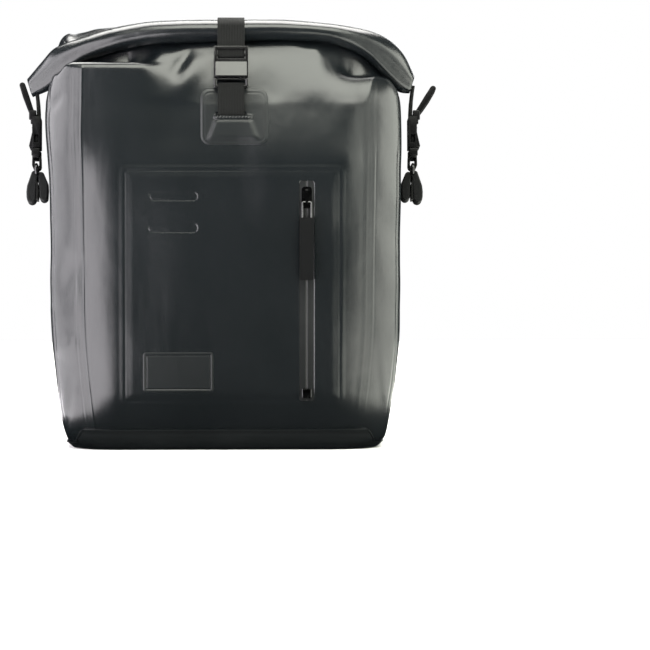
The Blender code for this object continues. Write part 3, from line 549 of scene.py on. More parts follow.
def outline(half, front, back, radius, height=0.0):
    """The plan at every column: a rounded rectangle whose front falls away towards its edges."""
    x_in, y_near, y_far = half - radius, front + radius, back - radius
    bows = {
        side: (depth * float(np.interp(height, *shares)), min(start, x_in - LEAST_BOW_LENGTH))
        for side, (depth, start, *shares) in BOWS.items()
    }
    points = []
    for c in CLOCKS:
        side = 1 if 0 < c < 5 else -1
        bow, start = bows[side]
        if c < 1:
            fallen = max(0.0, (abs(c) * x_in - start) / (x_in - start))
            points.append((c * x_in, front + bow * fallen**BOW_POWER))
        elif c < 2 or c >= 8:
            # The corner carries on from the slope of the bow.
            t = c - 1 if c < 2 else 9 - c
            slope = BOW_POWER * bow / (x_in - start)
            pull = CORNER_PULL * radius
            enter, leave = np.array((1, slope)) * pull, np.array((0, pull))
            spot = hermite(t, np.array((x_in, front + bow)), enter, np.array((half, y_near)), leave)
            points.append((side * spot[0], spot[1]))
        elif c < 3:
            points.append((half, y_near + (y_far - y_near) * (c - 2)))
        elif 4 <= c < 6:
            points.append((x_in * (5 - c), back))
        elif 7 <= c < 8:
            points.append((-half, y_far - (y_far - y_near) * (c - 7)))
        else:
            turn = math.radians(90 * (c - 3) if c < 4 else 90 + 90 * (c - 6))
            points.append((side * x_in + radius * math.cos(turn), y_far + radius * math.sin(turn)))
    return np.array(points)


def roll_at(x):
    """Top, bottom, middle y and half depth of the roll at x."""
    table = np.array(ROLL_RIGHT if x > 0 else ROLL_LEFT)
    spine = np.abs(table[:, 0])
    share = min(1.0, abs(x) / ROLL_SPAN)
    top = smooth_between(spine, table[:, 1], abs(x))
    bottom = smooth_between(spine, table[:, 2], abs(x))
    return top, bottom, ROLL_Y + ROLL_RUN_BACK * share**2.5, 0.023 - 0.007 * share**2


def smooth_between(places, values, at):
    """The value at one place, on a smooth curve through them all."""
    i = int(np.clip(np.searchsorted(places, at) - 1, 0, len(places) - 2))
    slopes = np.gradient(values, places)
    width = places[i + 1] - places[i]
    t = np.clip((at - places[i]) / width, 0, 1)
    return hermite(t, values[i], width * slopes[i], values[i + 1], width * slopes[i + 1])


def fold_profile(clock):
    """The fold profile at a column, eased between its neighbours."""
    clock = clock if clock >= FOLDS[0][0] else clock + 10
    for (low, a), (high, b) in zip(FOLDS, FOLDS[1:]):
        if clock <= high:
            share = float(smoothstep(low, high, clock))
            return np.array(a) * (1 - share) + np.array(b) * share
    return np.array(FOLDS[-1][1], float)


def mouth_target(clock, x):
    """Where a column ends, tucked under or behind the roll."""
    if clock < 1 or clock >= 8:
        reach, behind = x * 0.97, 0.0
    elif clock < 2 or clock >= 7:
        reach = math.copysign(0.150, x)
        behind = 0.0 if clock < 2 else 8 - clock
    elif clock < 3:
        reach, behind = 0.150, clock - 2
    else:
        reach, behind = x * 0.90, 1.0
    reach = max(-0.150, min(0.150, reach))
    top, bottom, y, depth = roll_at(reach)
    low = np.array((reach, y - 0.003, bottom + 0.0020))
    high = np.array((reach, y + 0.72 * depth, (top + bottom) / 2 + 0.30 * (top - bottom)))
    return low * (1 - behind) + high * behind


def skin_keys():
    rings = shell_rings()
    keys = [
        np.column_stack([outline(half, front, back, SHELL_CORNER, z), np.full(len(CLOCKS), z)])
        for z, half, front, back in rings
    ]
    shoulder = keys[-1]
    folded = np.zeros((7, len(CLOCKS), 3))
    for j, clock in enumerate(CLOCKS):
        start = shoulder[j]
        target = mouth_target(clock, start[0])
        toward = target[:2] - start[:2]
        length = np.linalg.norm(toward)
        for i, (inward, height) in enumerate(fold_profile(clock)):
            step = min(inward * MM, length * (0.80 + 0.03 * i)) / length
            folded[i, j, :2] = start[:2] + toward * step
            folded[i, j, 2] = height * MM
        folded[6, j] = target
        # Behind the roll the roof swells above it, but not under the strap.
        if 3.3 < clock < 6.7:
            crest = ROOF_CREST - ROOF_FALL * (start[0] / 0.134) ** 2
            under_strap = float(ridge(start[0] - 0.006, 0.026))
            swell = (crest - 0.4015) * (1 - under_strap)
            share = float(smoothstep(3.4, 4.2, clock) * smoothstep(6.6, 5.8, clock))
            folded[4:6, j, 2] += swell * share * np.array((0.8, 1.0))
            folded[6, j, 2] += 0.4 * swell * share
    return keys + list(folded)


def ridge(distance, width):
    return np.exp(-((distance / width) ** 2))


def distance_to_line(points, a, b):
    """Distance in the front view from every point to the line from a to b."""
    a, b = np.array(a), np.array(b)
    flat = points[..., (0, 2)]
    t = np.clip(((flat - a) @ (b - a)) / ((b - a) @ (b - a)), 0, 1)
    return np.linalg.norm(flat - (a + t[..., None] * (b - a)), axis=-1), t


def skin_relief(points):
    """How far the fabric stands off its smooth form: seams, creases and soft swells."""
    x, y, z = points[..., 0], points[..., 1], points[..., 2]
    clock = np.broadcast_to(CLOCKS, x.shape)
    front = smoothstep(-0.02, -0.07, y)
    upper = smoothstep(0.27, 0.33, z)
    gusset = smoothstep(0.120, 0.150, np.abs(x))
    swell = 0.0024 * wave_noise(points, (0.07, 0.07, 0.085), 3.1)
    ripple = 0.0010 * wave_noise(points, (0.030, 0.04, 0.042), 7.7)
    loose = 0.12 + 0.88 * gusset
    relief = (swell + ripple) * loose * (1 - 0.75 * upper)
    body = smoothstep(0.012, 0.03, z) * smoothstep(0.372, 0.350, z)
    corner = np.where(clock > 4, 9 - clock, clock - 1)
    # Weld of the front panel to the gusset, fainter on the right: a bead, a flat flange and a groove.
    bead = 0.0004 * ridge(corner - 0.012, 0.022) - 0.0004 * ridge(corner + 0.026, 0.016)
    groove = 0.0002 * ridge(corner - 0.165, 0.020) - 0.0003 * ridge(corner - 0.20, 0.012)
    rear = -0.0007 * ridge(corner - 0.74, 0.016)
    bead *= np.where(clock > 4, 1.0, 0.3)
    groove *= np.where(clock > 4, 1.0, 0.5)
    relief += (bead + groove + rear) * body * front
    # The left of the front stands straight up to its ear; the right bellies, then leans back.
    upright = smoothstep(-0.045, -0.085, x) * smoothstep(0.255, 0.325, z) * smoothstep(0.368, 0.362, z)
    belly = 0.0034 * smoothstep(0.19, 0.275, z) - 1.67 * np.clip(z - 0.278, 0, 0.045) ** 2
    belly *= smoothstep(0.010, 0.045, x) * smoothstep(0.135, 0.100, x)
    relief += (0.0030 * upright + belly) * front
    # Creases of the loose fabric, as lines in the front view with a depth and a width.
    for a, b, depth, width in CREASES:
        distance, t = distance_to_line(points, a, b)
        relief += depth * ridge(distance, width) * np.sin(np.pi * np.clip(t, 0.02, 0.98)) * front
    return relief


CREASES = (
    ((-0.030, 0.384), (-0.052, 0.352), -0.0030, 0.0060),
    ((-0.020, 0.376), (-0.048, 0.330), 0.0016, 0.0080),
    ((0.088, 0.372), (0.108, 0.349), 0.0010, 0.0070),
    ((0.026, 0.360), (0.052, 0.330), -0.0016, 0.0100),
    ((0.118, 0.300), (0.150, 0.330), -0.0016, 0.0140),
    ((0.105, 0.285), (0.130, 0.262), 0.0010, 0.0120),
    ((-0.150, 0.340), (-0.166, 0.318), -0.0018, 0.0050),
    ((-0.143, 0.072), (-0.150, 0.030), -0.0010, 0.0040),
    ((-0.150, 0.034), (-0.154, 0.002), -0.0010, 0.0036),
    ((-0.149, 0.070), (-0.156, 0.032), 0.0007, 0.0040),
    ((-0.140, 0.190), (-0.160, 0.130), -0.0020, 0.0120),
    ((-0.142, 0.110), (-0.156, 0.085), 0.0018, 0.0090),
    ((0.147, 0.099), (0.153, 0.041), 0.0006, 0.0034),
    ((0.143, 0.099), (0.149, 0.041), -0.0005, 0.0034),
)


def build_skin():
    keys = skin_keys()
    steps = [max(1, round((b - a) / ROW_STEP)) for a, b in zip(SHELL_HEIGHTS, SHELL_HEIGHTS[1:])]
    rows = catmull(keys, [*steps, *FOLD_STEPS])
    normals = grid_normals(rows, True)
    points = rows + normals * skin_relief(rows)[..., None]
    # The right of the front is soft, so its folds run into each other, and so is the back of the roof.
    soft = smoothstep(0.010, 0.035, points[..., 0]) * smoothstep(0.275, 0.300, points[..., 2])
    soft *= smoothstep(0.384, 0.366, points[..., 2]) * smoothstep(-0.02, -0.05, points[..., 1])
    soft += smoothstep(0.352, 0.372, points[..., 2]) * smoothstep(0.0, 0.03, points[..., 1])
    soft[-1] = 0
    for _ in range(SOFTENING_ROUNDS):
        middle = points.copy()
        middle[1:-1] = (points[:-2] + 2 * points[1:-1] + points[2:]) / 4
        middle = (np.roll(middle, 1, 1) + 2 * middle + np.roll(middle, -1, 1)) / 4
        points += (middle - points) * soft[..., None]
    count = len(CLOCKS)
    faces = grid_faces(len(points), count, True)
    faces.append(tuple(range(count))[::-1])
    skin = add_mesh("bag_skin", points.reshape(-1, 3), faces)
    finish_piece(skin, COATED, None, ("main_shell", "collar"), crease=0)
    return thicken(skin, SKIN_THICKNESS, -1)


# ---------------------------------------------------------------- roll

ROLL_STATIONS = 170
ROLL_TURNS = 2.6
ROLL_SIDES = 44
LAYERS = ((0, 0.84, 1.08, 1.84, 2.08, 2.6), (1.0, 1.0, 0.78, 0.74, 0.52, 0.48))
PLEATS = ((158, 14, 0.0008), (186, 16, -0.0010), (212, 14, 0.0009), (120, 16, 0.0004))


def power(value, exponent):
    return math.copysign(abs(value) ** exponent, value)


def build_roll():
    """The rolled fabric: one sheet wound on itself, pleated and narrowed at both ends."""
    xs = np.linspace(ROLL_LEFT[-1][0], ROLL_RIGHT[-1][0], ROLL_STATIONS)
    turns = np.linspace(0, ROLL_TURNS, int(ROLL_TURNS * ROLL_SIDES) + 1)
    points = np.zeros((len(turns), len(xs), 3))
    for j, x in enumerate(xs):
        top, bottom, y, depth = roll_at(x)
        middle, half = (top + bottom) / 2, (top - bottom) / 2
        pleated = float(smoothstep(0.105, 0.150, abs(x)))
        lean = -math.copysign(0.28 * float(smoothstep(0.13, 0.18, abs(x))), x)
        for i, turn in enumerate(turns):
            angle = math.radians(100) + 2 * math.pi * turn
            scale = float(np.interp(turn, *LAYERS))
            u = depth * scale * power(math.cos(angle), 0.86)
            v = half * scale * power(math.sin(angle), 0.86)
            if turn < 1:
                degrees = math.degrees(angle) % 360
                push = sum(
                    height * math.exp(-(((degrees - place) / width) ** 2))
                    for place, width, height in PLEATS
                )
                u += push * pleated * math.cos(angle)
                v += push * pleated * math.sin(angle)
            points[i, j] = (x - lean * v, y + u, middle + v)
    relief = 0.0006 * wave_noise(points, (0.045, 0.03, 0.03), 11.3)
    relief += 0.0002 * wave_noise(points, (0.020, 0.02, 0.02), 4.2)
    inside = np.clip(1.2 - turns, 0, 1)[:, None]
    points -= grid_normals(points, False) * (relief * inside)[..., None]
    points[..., 2] = np.minimum(points[..., 2], ROLL_BOX[1].z + 0.0008)
    roll = add_mesh("roll_skin", points.reshape(-1, 3), grid_faces(len(turns), len(xs)))
    finish_piece(roll, COATED, "roll_top", ("roll_fabric",), crease=0)
    thicken(roll, 0.0009, 0)


# ---------------------------------------------------------------- panels on the front


class Front:
    """Reads the skin's front face, so that what is welded to it lies on it."""

    def __init__(self, skin):
        shape = bmesh.new()
        shape.from_mesh(skin.data)
        self.tree = BVHTree.FromBMesh(shape)
        shape.free()

    def y(self, x, z):
        hit = self.tree.ray_cast(Vector((x, -0.3, z)), Vector((0, 1, 0)))[0]
        return hit.y


def fine_lines(low, high, coarse, spots, fine=0.0006, reach=0.0035):
    """Grid lines from low to high, close together near each spot."""
    places, at = [low], low
    while at < high - 1e-6:
        near = min(abs(at - s) for s in spots)
        at += fine if near < reach else min(coarse, max(fine, (near - reach) * 0.5 + fine))
        places.append(min(at, high))
    return np.array(places)


def inside_distance(u, v, area, radius):
    """How far a point lies inside a rounded rectangle; negative outside."""
    low_u, high_u, low_v, high_v = area
    du = np.abs(u - (low_u + high_u) / 2) - (high_u - low_u) / 2 + radius
    dv = np.abs(v - (low_v + high_v) / 2) - (high_v - low_v) / 2 + radius
    outside = np.hypot(np.maximum(du, 0), np.maximum(dv, 0))
    return radius - outside - np.minimum(np.maximum(du, dv), 0)


def welded_panel(name, area, radius, front, relief, spots_x, spots_z, coarse=0.004, sink=0.0012):
    """A panel on the front face; relief(x, z, inside) gives how far it stands off the skin."""
    low_x, high_x, low_z, high_z = area
    xs = fine_lines(low_x, high_x, coarse, [low_x, high_x, *spots_x])
    zs = fine_lines(low_z, high_z, coarse, [low_z, high_z, *spots_z])
    x, z = np.meshgrid(xs, zs)
    inside = inside_distance(x, z, area, radius)
    # A point past a rounded corner moves back onto the outline.
    cx = np.clip(x, low_x + radius, high_x - radius)
    cz = np.clip(z, low_z + radius, high_z - radius)
    away = np.maximum(np.hypot(x - cx, z - cz), 1e-9)
    pull = np.where(inside < 0, radius / away, 1.0)
    x, z = cx + (x - cx) * pull, cz + (z - cz) * pull
    inside = np.maximum(inside, 0)
    base = np.array([front.y(a, b) for a, b in zip(x.ravel(), z.ravel())]).reshape(x.shape)
    y = base - relief(x, z, inside)
    shape = bmesh.new()
    verts = [[shape.verts.new((x[i, j], y[i, j], z[i, j])) for j in range(len(xs))] for i in range(len(zs))]
    for i in range(len(zs) - 1):
        for j in range(len(xs) - 1):
            shape.faces.new((verts[i][j], verts[i][j + 1], verts[i + 1][j + 1], verts[i + 1][j]))
    bmesh.ops.remove_doubles(shape, verts=shape.verts, dist=0.00005)
    bmesh.ops.dissolve_degenerate(shape, dist=0.00005, edges=shape.edges)
    rim = [e for e in shape.edges if e.is_boundary]
    made = bmesh.ops.extrude_edge_only(shape, edges=rim)["geom"]
    wall = [v for v in made if isinstance(v, bmesh.types.BMVert)]
    bmesh.ops.translate(shape, vec=(0, sink + 0.0012, 0), verts=wall)
    obj = from_bmesh(name, shape)
    if obj.data.polygons[0].normal.y > 0:
        obj.data.flip_normals()
    return obj


def step_up(inside, start, width, height):
    return height * smoothstep(start, start + width, inside)


def area_of(name):
    """The part's low x, high x, low z and high z."""
    low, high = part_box(name)
    return low.x, high.x, low.z, high.z


def near_edges(low, high, *insets):
    return [low + inset for inset in insets] + [high - inset for inset in insets]


FRONT_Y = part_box("front_pocket")[0].y + 0.010
POCKET = area_of("front_pocket")
ZIP_AREA = area_of("zip_tape")
ZIP_X = (ZIP_AREA[0] + ZIP_AREA[1]) / 2
BADGE = area_of("badge_patch")
ANCHOR = area_of("front_anchor_patch")
SLOTS = ((-0.072, -0.0255, 0.2365, 0.2450), (-0.0735, -0.0255, 0.2065, 0.2155))
FLAP_TOP = 0.0200
FLAP_REACH = 0.145
FLAP_CORNER = 0.014
TRAY_FOOT = 0.0022
TRAY_LOW = 0.0062
TRAY_BACK_RISE = 0.004
TRAY_PROUD = 0.0011
# The tray's rows: how far up its wall, and how far the rounded lip stands out there.
TRAY_LEVELS = ((0, 0), (0.25, 0), (0.5, 0), (0.72, 0), (0.86, -0.0004), (0.93, 0.0007), (1, 0.0005))
SLIT_Z = 0.3175
STITCH_STEP = 0.003
STRAP_X = 0.006


def pocket_relief(x, z, inside):
    """A flat weld border, a soft step to the puffed panel, two sunk slots and the zip's window."""
    height = 0.0002 + step_up(inside, 0.0004, 0.0040, 0.0003)
    height -= 0.0002 * ridge(inside - 0.0066, 0.0009)
    height += step_up(inside, 0.0066, 0.0080, 0.0006)
    waves = wave_noise(np.stack([x, 0 * x, z], -1), (0.07, 1, 0.09), 2.2)
    height += 0.0004 * waves * smoothstep(0, 0.02, inside)
    for slot in SLOTS:
        depth = inside_distance(x, z, slot, 0.0042)
        height -= 0.00045 * ridge(depth - 0.0009, 0.0008)
        height -= 0.0002 * smoothstep(0.0, 0.0030, depth)
    window = inside_distance(x, z, ZIP_AREA, 0.0035)
    return height - 0.0011 * smoothstep(-0.0002, 0.0006, window)


def build_pocket(front):
    spots_x = near_edges(*POCKET[:2], 0.0062, 0.011) + [*SLOTS[0][:2], *ZIP_AREA[:2]]
    spots_z = near_edges(*POCKET[2:], 0.0062, 0.011) + [*ZIP_AREA[2:], *SLOTS[0][2:], *SLOTS[1][2:]]
    pocket = welded_panel("pocket_panel", POCKET, 0.010, front, pocket_relief, spots_x, spots_z)
    finish_piece(pocket, COATED, "root", ("front_pocket",))

    def zip_relief(x, z, inside):
        height = 0.0006 + 0.00025 * smoothstep(0.0005, 0.0040, inside)
        return height - 0.0006 * ridge(x - ZIP_X, 0.0005)

    tape_area = (ZIP_AREA[0] - 0.0004, ZIP_AREA[1] + 0.0004, ZIP_AREA[2] - 0.0004, ZIP_AREA[3] + 0.0004)
    spots = [ZIP_X], [ZIP_X]
    tape = welded_panel("zip_tape_skin", tape_area, 0.0030, front, zip_relief, *spots, coarse=0.006)
    finish_piece(tape, ZIP, "root", ("zip_tape",))

    def badge_relief(x, z, inside):
        height = 0.0013 + step_up(inside, 0, 0.0014, 0.0004)
        height -= 0.0006 * smoothstep(0.0020, 0.0027, inside)
        return height + 0.0004 * smoothstep(0.0030, 0.0042, inside)

    spots = near_edges(*BADGE[:2], 0.0034), near_edges(*BADGE[2:], 0.0034)
    badge = welded_panel("badge", BADGE, 0.0030, front, badge_relief, *spots, coarse=0.003, sink=0.002)
    finish_piece(badge, PATCH, "root", ("badge_patch",))


def build_anchor_patch(front):
    """The welded patch: the webbing's end makes a trapezoid under it, below a raised slit."""
    lip_x = STRAP_X + 0.0018

    def relief(x, z, inside):
        height = 0.0002 + step_up(inside, 0, 0.0024, 0.0007) - 0.0002 * ridge(inside - 0.0034, 0.0008)
        spread = 0.0125 + 0.38 * np.clip(SLIT_Z - z, 0, 0.03)
        under = smoothstep(0.0055, -0.0010, np.abs(x - lip_x) - spread)
        below = smoothstep(0.0, -0.0012, z - SLIT_Z) * smoothstep(-0.0260, -0.0195, z - SLIT_Z)
        height += 0.0016 * under * below
        along = smoothstep(0.0186, 0.0168, np.abs(x - lip_x))
        height += 0.0017 * ridge(z - SLIT_Z + 0.0018, 0.0014) * along
        height -= 0.0006 * ridge(z - SLIT_Z + 0.0045, 0.0010) * along
        slit = inside_distance(x, z, (STRAP_X - 0.0142, STRAP_X + 0.0142, SLIT_Z, SLIT_Z + 0.0026), 0.0012)
        return height - 0.0016 * smoothstep(-0.0004, 0.0004, slit)

    spots_x = near_edges(*ANCHOR[:2], 0.0020) + [STRAP_X - 0.0135, STRAP_X + 0.0135]
    spots_z = near_edges(*ANCHOR[2:], 0.0020) + [SLIT_Z - 0.0018, SLIT_Z + 0.0020]
    patch = welded_panel("anchor_patch", ANCHOR, 0.009, front, relief, spots_x, spots_z, coarse=0.0013)
    finish_piece(patch, PATCH, "root", ("front_anchor_patch",))
    z = SLIT_Z - 0.0018
    places = [lip_x - 0.0150 + STITCH_STEP * i for i in range(11)]
    middles = [(x, front.y(x, z) - 0.0044, z) for x in places]
    stitches("slit_stitches", middles, (0.0008, 0, 0.0009), 0.00042, "root")


OUTLINES = {}


def outline_point(j, half, front, back):
    """One column's point on an outline of this size, to a hundredth of a millimetre."""
    size = (round(half, 5), round(front, 5), round(back, 5))
    if size not in OUTLINES:
        OUTLINES[size] = outline(half, front, back, SHELL_CORNER)
    return OUTLINES[size][j]


def tray_top(ring):
    """The tray's height at every column: low all round, with a flap in front that ends in rounded corners."""
    x, y = outline(*ring[1:], SHELL_CORNER).T
    share = smoothstep(FLAP_REACH, FLAP_REACH - FLAP_CORNER, np.abs(x))
    return TRAY_LOW + np.where(y < 0, FLAP_TOP - TRAY_LOW, TRAY_BACK_RISE) * share


def build_base_patch():
    """A tray welded under the bag, its front flap rising to a rounded edge."""
    rings = shell_rings()[:3]
    _, half, near, far = rings[0]
    columns = len(CLOCKS)
    rows = []
    for inset, radius, z in ((0.010, SHELL_CORNER - 0.010, 0.0002), (0.001, SHELL_CORNER, 0.0003)):
        plan = outline(half - inset, near + inset, far - inset, radius)
        rows.append(np.column_stack([plan, np.full(columns, z)]))

    def ring_at(z, out):
        """Every column at its own height, this far outside the shell."""
        sizes = (np.interp(z, rings[:, 0], rings[:, k]) for k in (1, 2, 3))
        plan = [
            outline_point(j, half + out, near - out, far + out)
            for j, (half, near, far) in enumerate(zip(*sizes))
        ]
        return np.column_stack([plan, z])

    top = tray_top(rings[1])
    for level, lip in TRAY_LEVELS:
        z = np.maximum(TRAY_FOOT, TRAY_FOOT + (top - TRAY_FOOT) * level)
        rows.append(ring_at(z, TRAY_PROUD + lip))
    rows.append(ring_at(rows[-1][:, 2], -0.001))
    rows[-1][:, 2] += 0.0004
    faces = grid_faces(len(rows), columns, True)
    faces.append(tuple(range(columns))[::-1])
    tray = add_mesh("base_tray", np.concatenate(rows), faces)
    finish_piece(tray, PATCH, "root", ("base_patch",))
    tray.data.set_sharp_from_angle(angle=math.radians(50))


# ---------------------------------------------------------------- straps and buckles

TILT = math.radians(8)
BUCKLE_Z = 0.363
FRONT_FRAME = Matrix.Translation((STRAP_X, -0.0906, BUCKLE_Z)) @ Matrix.Rotation(-TILT, 4, "X")


def side_frame(sign):
    turn = Matrix.Rotation(-TILT, 4, "X") @ Matrix.Rotation(sign * math.pi / 2, 4, "Z")
    return Matrix.Translation((sign * 0.1796, -0.0343, 0.2955)) @ turn


def placed(parts, matrix):
    for part in parts:
        part.matrix_world = matrix
    return parts


def buckle(name, parts, material, body, node_name):
    finish_piece(join_all(name, parts), material, body, (node_name,))


def strap(name, matrix, path, width, body, node_names, thickness=0.0016, **shape):
    """Webbing on a path of (y, z) points in a buckle's frame."""
    across = matrix.to_3x3().col[0].normalized()
    points = [(matrix @ Vector((0, y, z)), across) for y, z in path]
    web = webbing_strip(name, points, width, thickness, **shape)
    finish_piece(web, WEBBING, body, node_names)


def box_pair(name, low, high, radius):
    """A rounded box and its mirror image on the other side."""
    mirrored = (-high[0], *low[1:]), (-low[0], *high[1:])
    return [rounded_box(name, *corners, radius) for corners in (mirrored, (low, high))]


def female_parts(frame_matrix):
    """Upper half of a buckle: a frame with a webbing slot over a satin plate."""
    body = rounded_box(
        "female_body",
        (-0.0160, -0.0040, -0.0105),
        (0.0160, 0.0040, 0.0190),
        0.0009,
        cutters=[
            ((-0.0133, -0.01, 0.0072), (0.0133, 0.01, 0.0160)),
            ((-0.0135, -0.0023, -0.02), (0.0135, 0.0023, 0.0050)),
            ((-0.03, -0.0020, -0.0060), (0.03, 0.0020, 0.0016)),
        ],
    )
    wedge = [(-0.0020, 0.0068), (-0.0034, 0.0068), (-0.0070, -0.0094), (-0.0066, -0.0101), (-0.0020, -0.0101)]
    plate = lens_plate("female_plate", wedge, 0.0300, 0.0005, Matrix.Identity(4))
    bar = rounded_box("female_bar", (-0.0140, -0.0012, 0.0096), (0.0140, 0.0012, 0.0122), 0.0008)
    return placed([body, plate, bar], frame_matrix)


def male_parts(frame_matrix):
    """Lower half: shoulders, a webbing slot, and prongs that reach into the upper half."""
    body = rounded_box(
        "male_body",
        (-0.0160, -0.0031, -0.0205),
        (0.0160, 0.0031, -0.0112),
        0.0008,
        cutters=[((-0.0133, -0.01, -0.0177), (0.0133, 0.01, -0.0131))],
    )
    prongs = box_pair("prong", (0.0085, -0.0018, -0.0125), (0.0128, 0.0018, 0.0030), 0.0006)
    shoulders = box_pair("shoulder", (0.0136, -0.0046, -0.0190), (0.0164, 0.0036, -0.0113), 0.0010)
    guide = rounded_box("guide", (-0.0025, -0.0016, -0.0125), (0.0025, 0.0016, 0.0028), 0.0005)
    return placed([body, *prongs, *shoulders, guide], frame_matrix)


def build_front_strap():
    buckle("front_buckle_upper", female_parts(FRONT_FRAME), BUCKLE, "roll_top", "front_buckle_female")
    buckle("front_buckle_lower", male_parts(FRONT_FRAME), BUCKLE, "root", "front_buckle_male")
    slit = (SLIT_Z - BUCKLE_Z) / math.cos(TILT)
    path = [(0.0049, slit - 0.0035), (0.0042, slit), (0.0022, slit + 0.0035), (-0.0012, slit + 0.010)]
    path += [(-0.0021, -0.0280), (-0.0024, -0.0225), (-0.0029, -0.0195)]
    path += arc((0, -0.0188), 0.0027, 180, 0, 8)[1:]
    path += [(0.0028, -0.0230), (0.0016, -0.0285), (0.0010, slit + 0.0110)]
    strap("front_web_lower", FRONT_FRAME, path, 0.025, "root", ("front_lower_web",))
    build_front_upper_web()


def build_front_upper_web():
    """From round the buckle's bar up over the roll, and sewn down on the roof behind it."""
    near = [
        FRONT_FRAME @ Vector((0, y, z))
        for y, z in [(0.0024, 0.0064)] + arc((0, 0.0109), 0.0024, 340, 180, 6) + [(-0.0016, 0.0150)]
    ]
    points = [(p.y, p.z) for p in near]
    y, z, depth, half = ROLL_Y, 0.397, 0.0238, 0.0122
    points += [(-0.0868, 0.3860), (-0.0850, 0.3905)]
    for degrees in (172, 160, 148, 134, 120, 105, 90, 75, 60, 48):
        a = math.radians(degrees)
        points.append((y + depth * power(math.cos(a), 0.8), z + half * power(math.sin(a), 0.8)))
    points += [(-0.0350, 0.4066), (-0.0240, 0.4052), (-0.0120, 0.4048), (0.0120, 0.4040)]
    keys = np.array([(STRAP_X, a, b) for a, b in points])
    smooth = catmull(keys, [3] * (len(keys) - 1))
    web = webbing_strip("front_web_upper", [(p, (1, 0, 0)) for p in smooth], 0.0256)
    finish_piece(web, WEBBING, "roll_top", ("front_upper_web",))
    middles = [
        (STRAP_X - 0.0105 + STITCH_STEP * i, along, 0.4058 - (along + 0.012) * 0.03)
        for along in (-0.008, 0.008)
        for i in range(8)
    ]
    stitches("roof_stitches", middles, (0.0009, 0, 0), 0.0004, "roll_top")


def build_side_strap(side, sign):
    matrix = side_frame(sign)
    ears = placed(box_pair("ear", (0.0132, -0.0070, 0.0155), (0.0158, 0.0, 0.0250), 0.0011), matrix)
    upper_parts = female_parts(matrix) + ears
    buckle(f"side_buckle_upper_{side}", upper_parts, SHADED_SIDE_PLASTIC, "roll_top", f"side_buckle_female_{side}")
    lower_parts = male_parts(matrix)
    buckle(f"side_buckle_lower_{side}", lower_parts, SHADED_SIDE_PLASTIC, "root", f"side_buckle_male_{side}")
    upper = [(-0.0030, 0.0080), (-0.0024, 0.0109), *arc((0, 0.0109), 0.0024, 180, 340, 6)[1:]]
    upper += [(0.0018, 0.0160), (0.0016, 0.0250), (0.0010, 0.0340), (-0.0002, 0.0440), (-0.0010, 0.0490)]
    names = (f"side_upper_web_{side}",)
    strap(f"side_web_upper_{side}", matrix, upper, 0.025, "roll_top", names, 0.0030, edge=0.0008)
    loop = arc((0, -0.0188), 0.0032, 0, 180, 10) + arc((0, -0.0270), 0.0034, 180, 360, 10)
    names = (f"side_lower_web_{side}",)
    strap(f"side_web_lower_{side}", matrix, loop, 0.024, "root", names, closed=True)
    ring_points = [
        matrix @ Vector((u, 0, v))
        for u, v in rounded_rectangle(-0.0150, 0.0150, -0.0360, -0.0270, 0.0035, 8)
    ]
    ring = rod(f"side_ring_wire_{side}", ring_points, 0.0015, closed=True)
    finish_piece(ring, METAL, "root", (f"side_ring_{side}",))
    build_side_anchor(side, matrix)
    build_lever(side, matrix)


def lens_plate(name, outline_points, width, radius, matrix):
    """A side outline of (y, z) points given a width along X, with rounded edges."""
    shape = bmesh.new()
    sides = [
        [shape.verts.new((end * width / 2, y, z)) for y, z in outline_points] for end in (-1, 1)
    ]
    count = len(outline_points)
    shape.faces.new(sides[0][::-1])
    shape.faces.new(sides[1])
    for i in range(count):
        j = (i + 1) % count
        shape.faces.new((sides[0][i], sides[0][j], sides[1][j], sides[1][i]))
    obj = from_bmesh(name, shape)
    obj.data.transform(matrix)
    return round_edges(obj, radius, 3, 50)


def build_side_anchor(side, matrix):
    """The strap's fold that holds the ring: an outer pad, the webbing's edge, and an inner pad."""
    outer = arc((-0.0048, -0.0592), 0.0043, 200, 350, 10) + [(0.0000, -0.0510), (0.0004, -0.0430)]
    outer += arc((-0.0014, -0.0362), 0.0036, 10, 150, 8) + [(-0.0068, -0.0412), (-0.0088, -0.0470)]
    outer += [(-0.0095, -0.0530), (-0.0093, -0.0580)]
    inner = arc((0.0068, -0.0575), 0.0040, 190, 350, 10) + [(0.0112, -0.0500), (0.0108, -0.0440)]
    inner += arc((0.0042, -0.0372), 0.0034, 20, 150, 6) + [(0.0018, -0.0430), (0.0026, -0.0500)]
    for name, points, shrink in (("outer", outer, 0.0), ("inner", inner, 0.002)):
        pad = lens_plate(f"side_anchor_{name}_{side}", points, 0.0245 - shrink, 0.0013, matrix)
        node_names = (f"side_anchor_{side}",) if name == "outer" else ()
        finish_piece(pad, FOLD, "root", node_names)
    tail = [(-0.0010, -0.0400), (0.0006, -0.0460), (0.0010, -0.0540), (0.0006, -0.0600)]
    strap(f"side_anchor_web_{side}", matrix, tail, 0.0240, "root", (), 0.0020)


def build_lever(side, matrix):
    """The stiff pull above the buckle, leaning away from the bag."""
    lean = math.radians(19 if side == "L" else 33)
    pivot = matrix @ Matrix.Translation((0, -0.0042, 0.0222)) @ Matrix.Rotation(lean, 4, "X")
    points = arc((0, 0.0288), 0.0028, 0, 180, 8) + [(-0.0033, 0.0180), (-0.0030, 0.0080)]
    points += arc((0, 0.0000), 0.0024, 180, 360, 8) + [(0.0025, 0.0080), (0.0028, 0.0180)]
    lever = lens_plate(f"side_lever_pull_{side}", points, 0.0246, 0.0009, pivot)
    pin = rod("lever_pin", [pivot @ Vector((u, 0, 0)) for u in (-0.0156, 0.0156)], 0.0012)
    name = f"side_lever_pull_{side}_all"
    buckle(name, [lever, pin], SHADED_SIDE_PLASTIC, f"lever_{side}", f"side_lever_{side}")


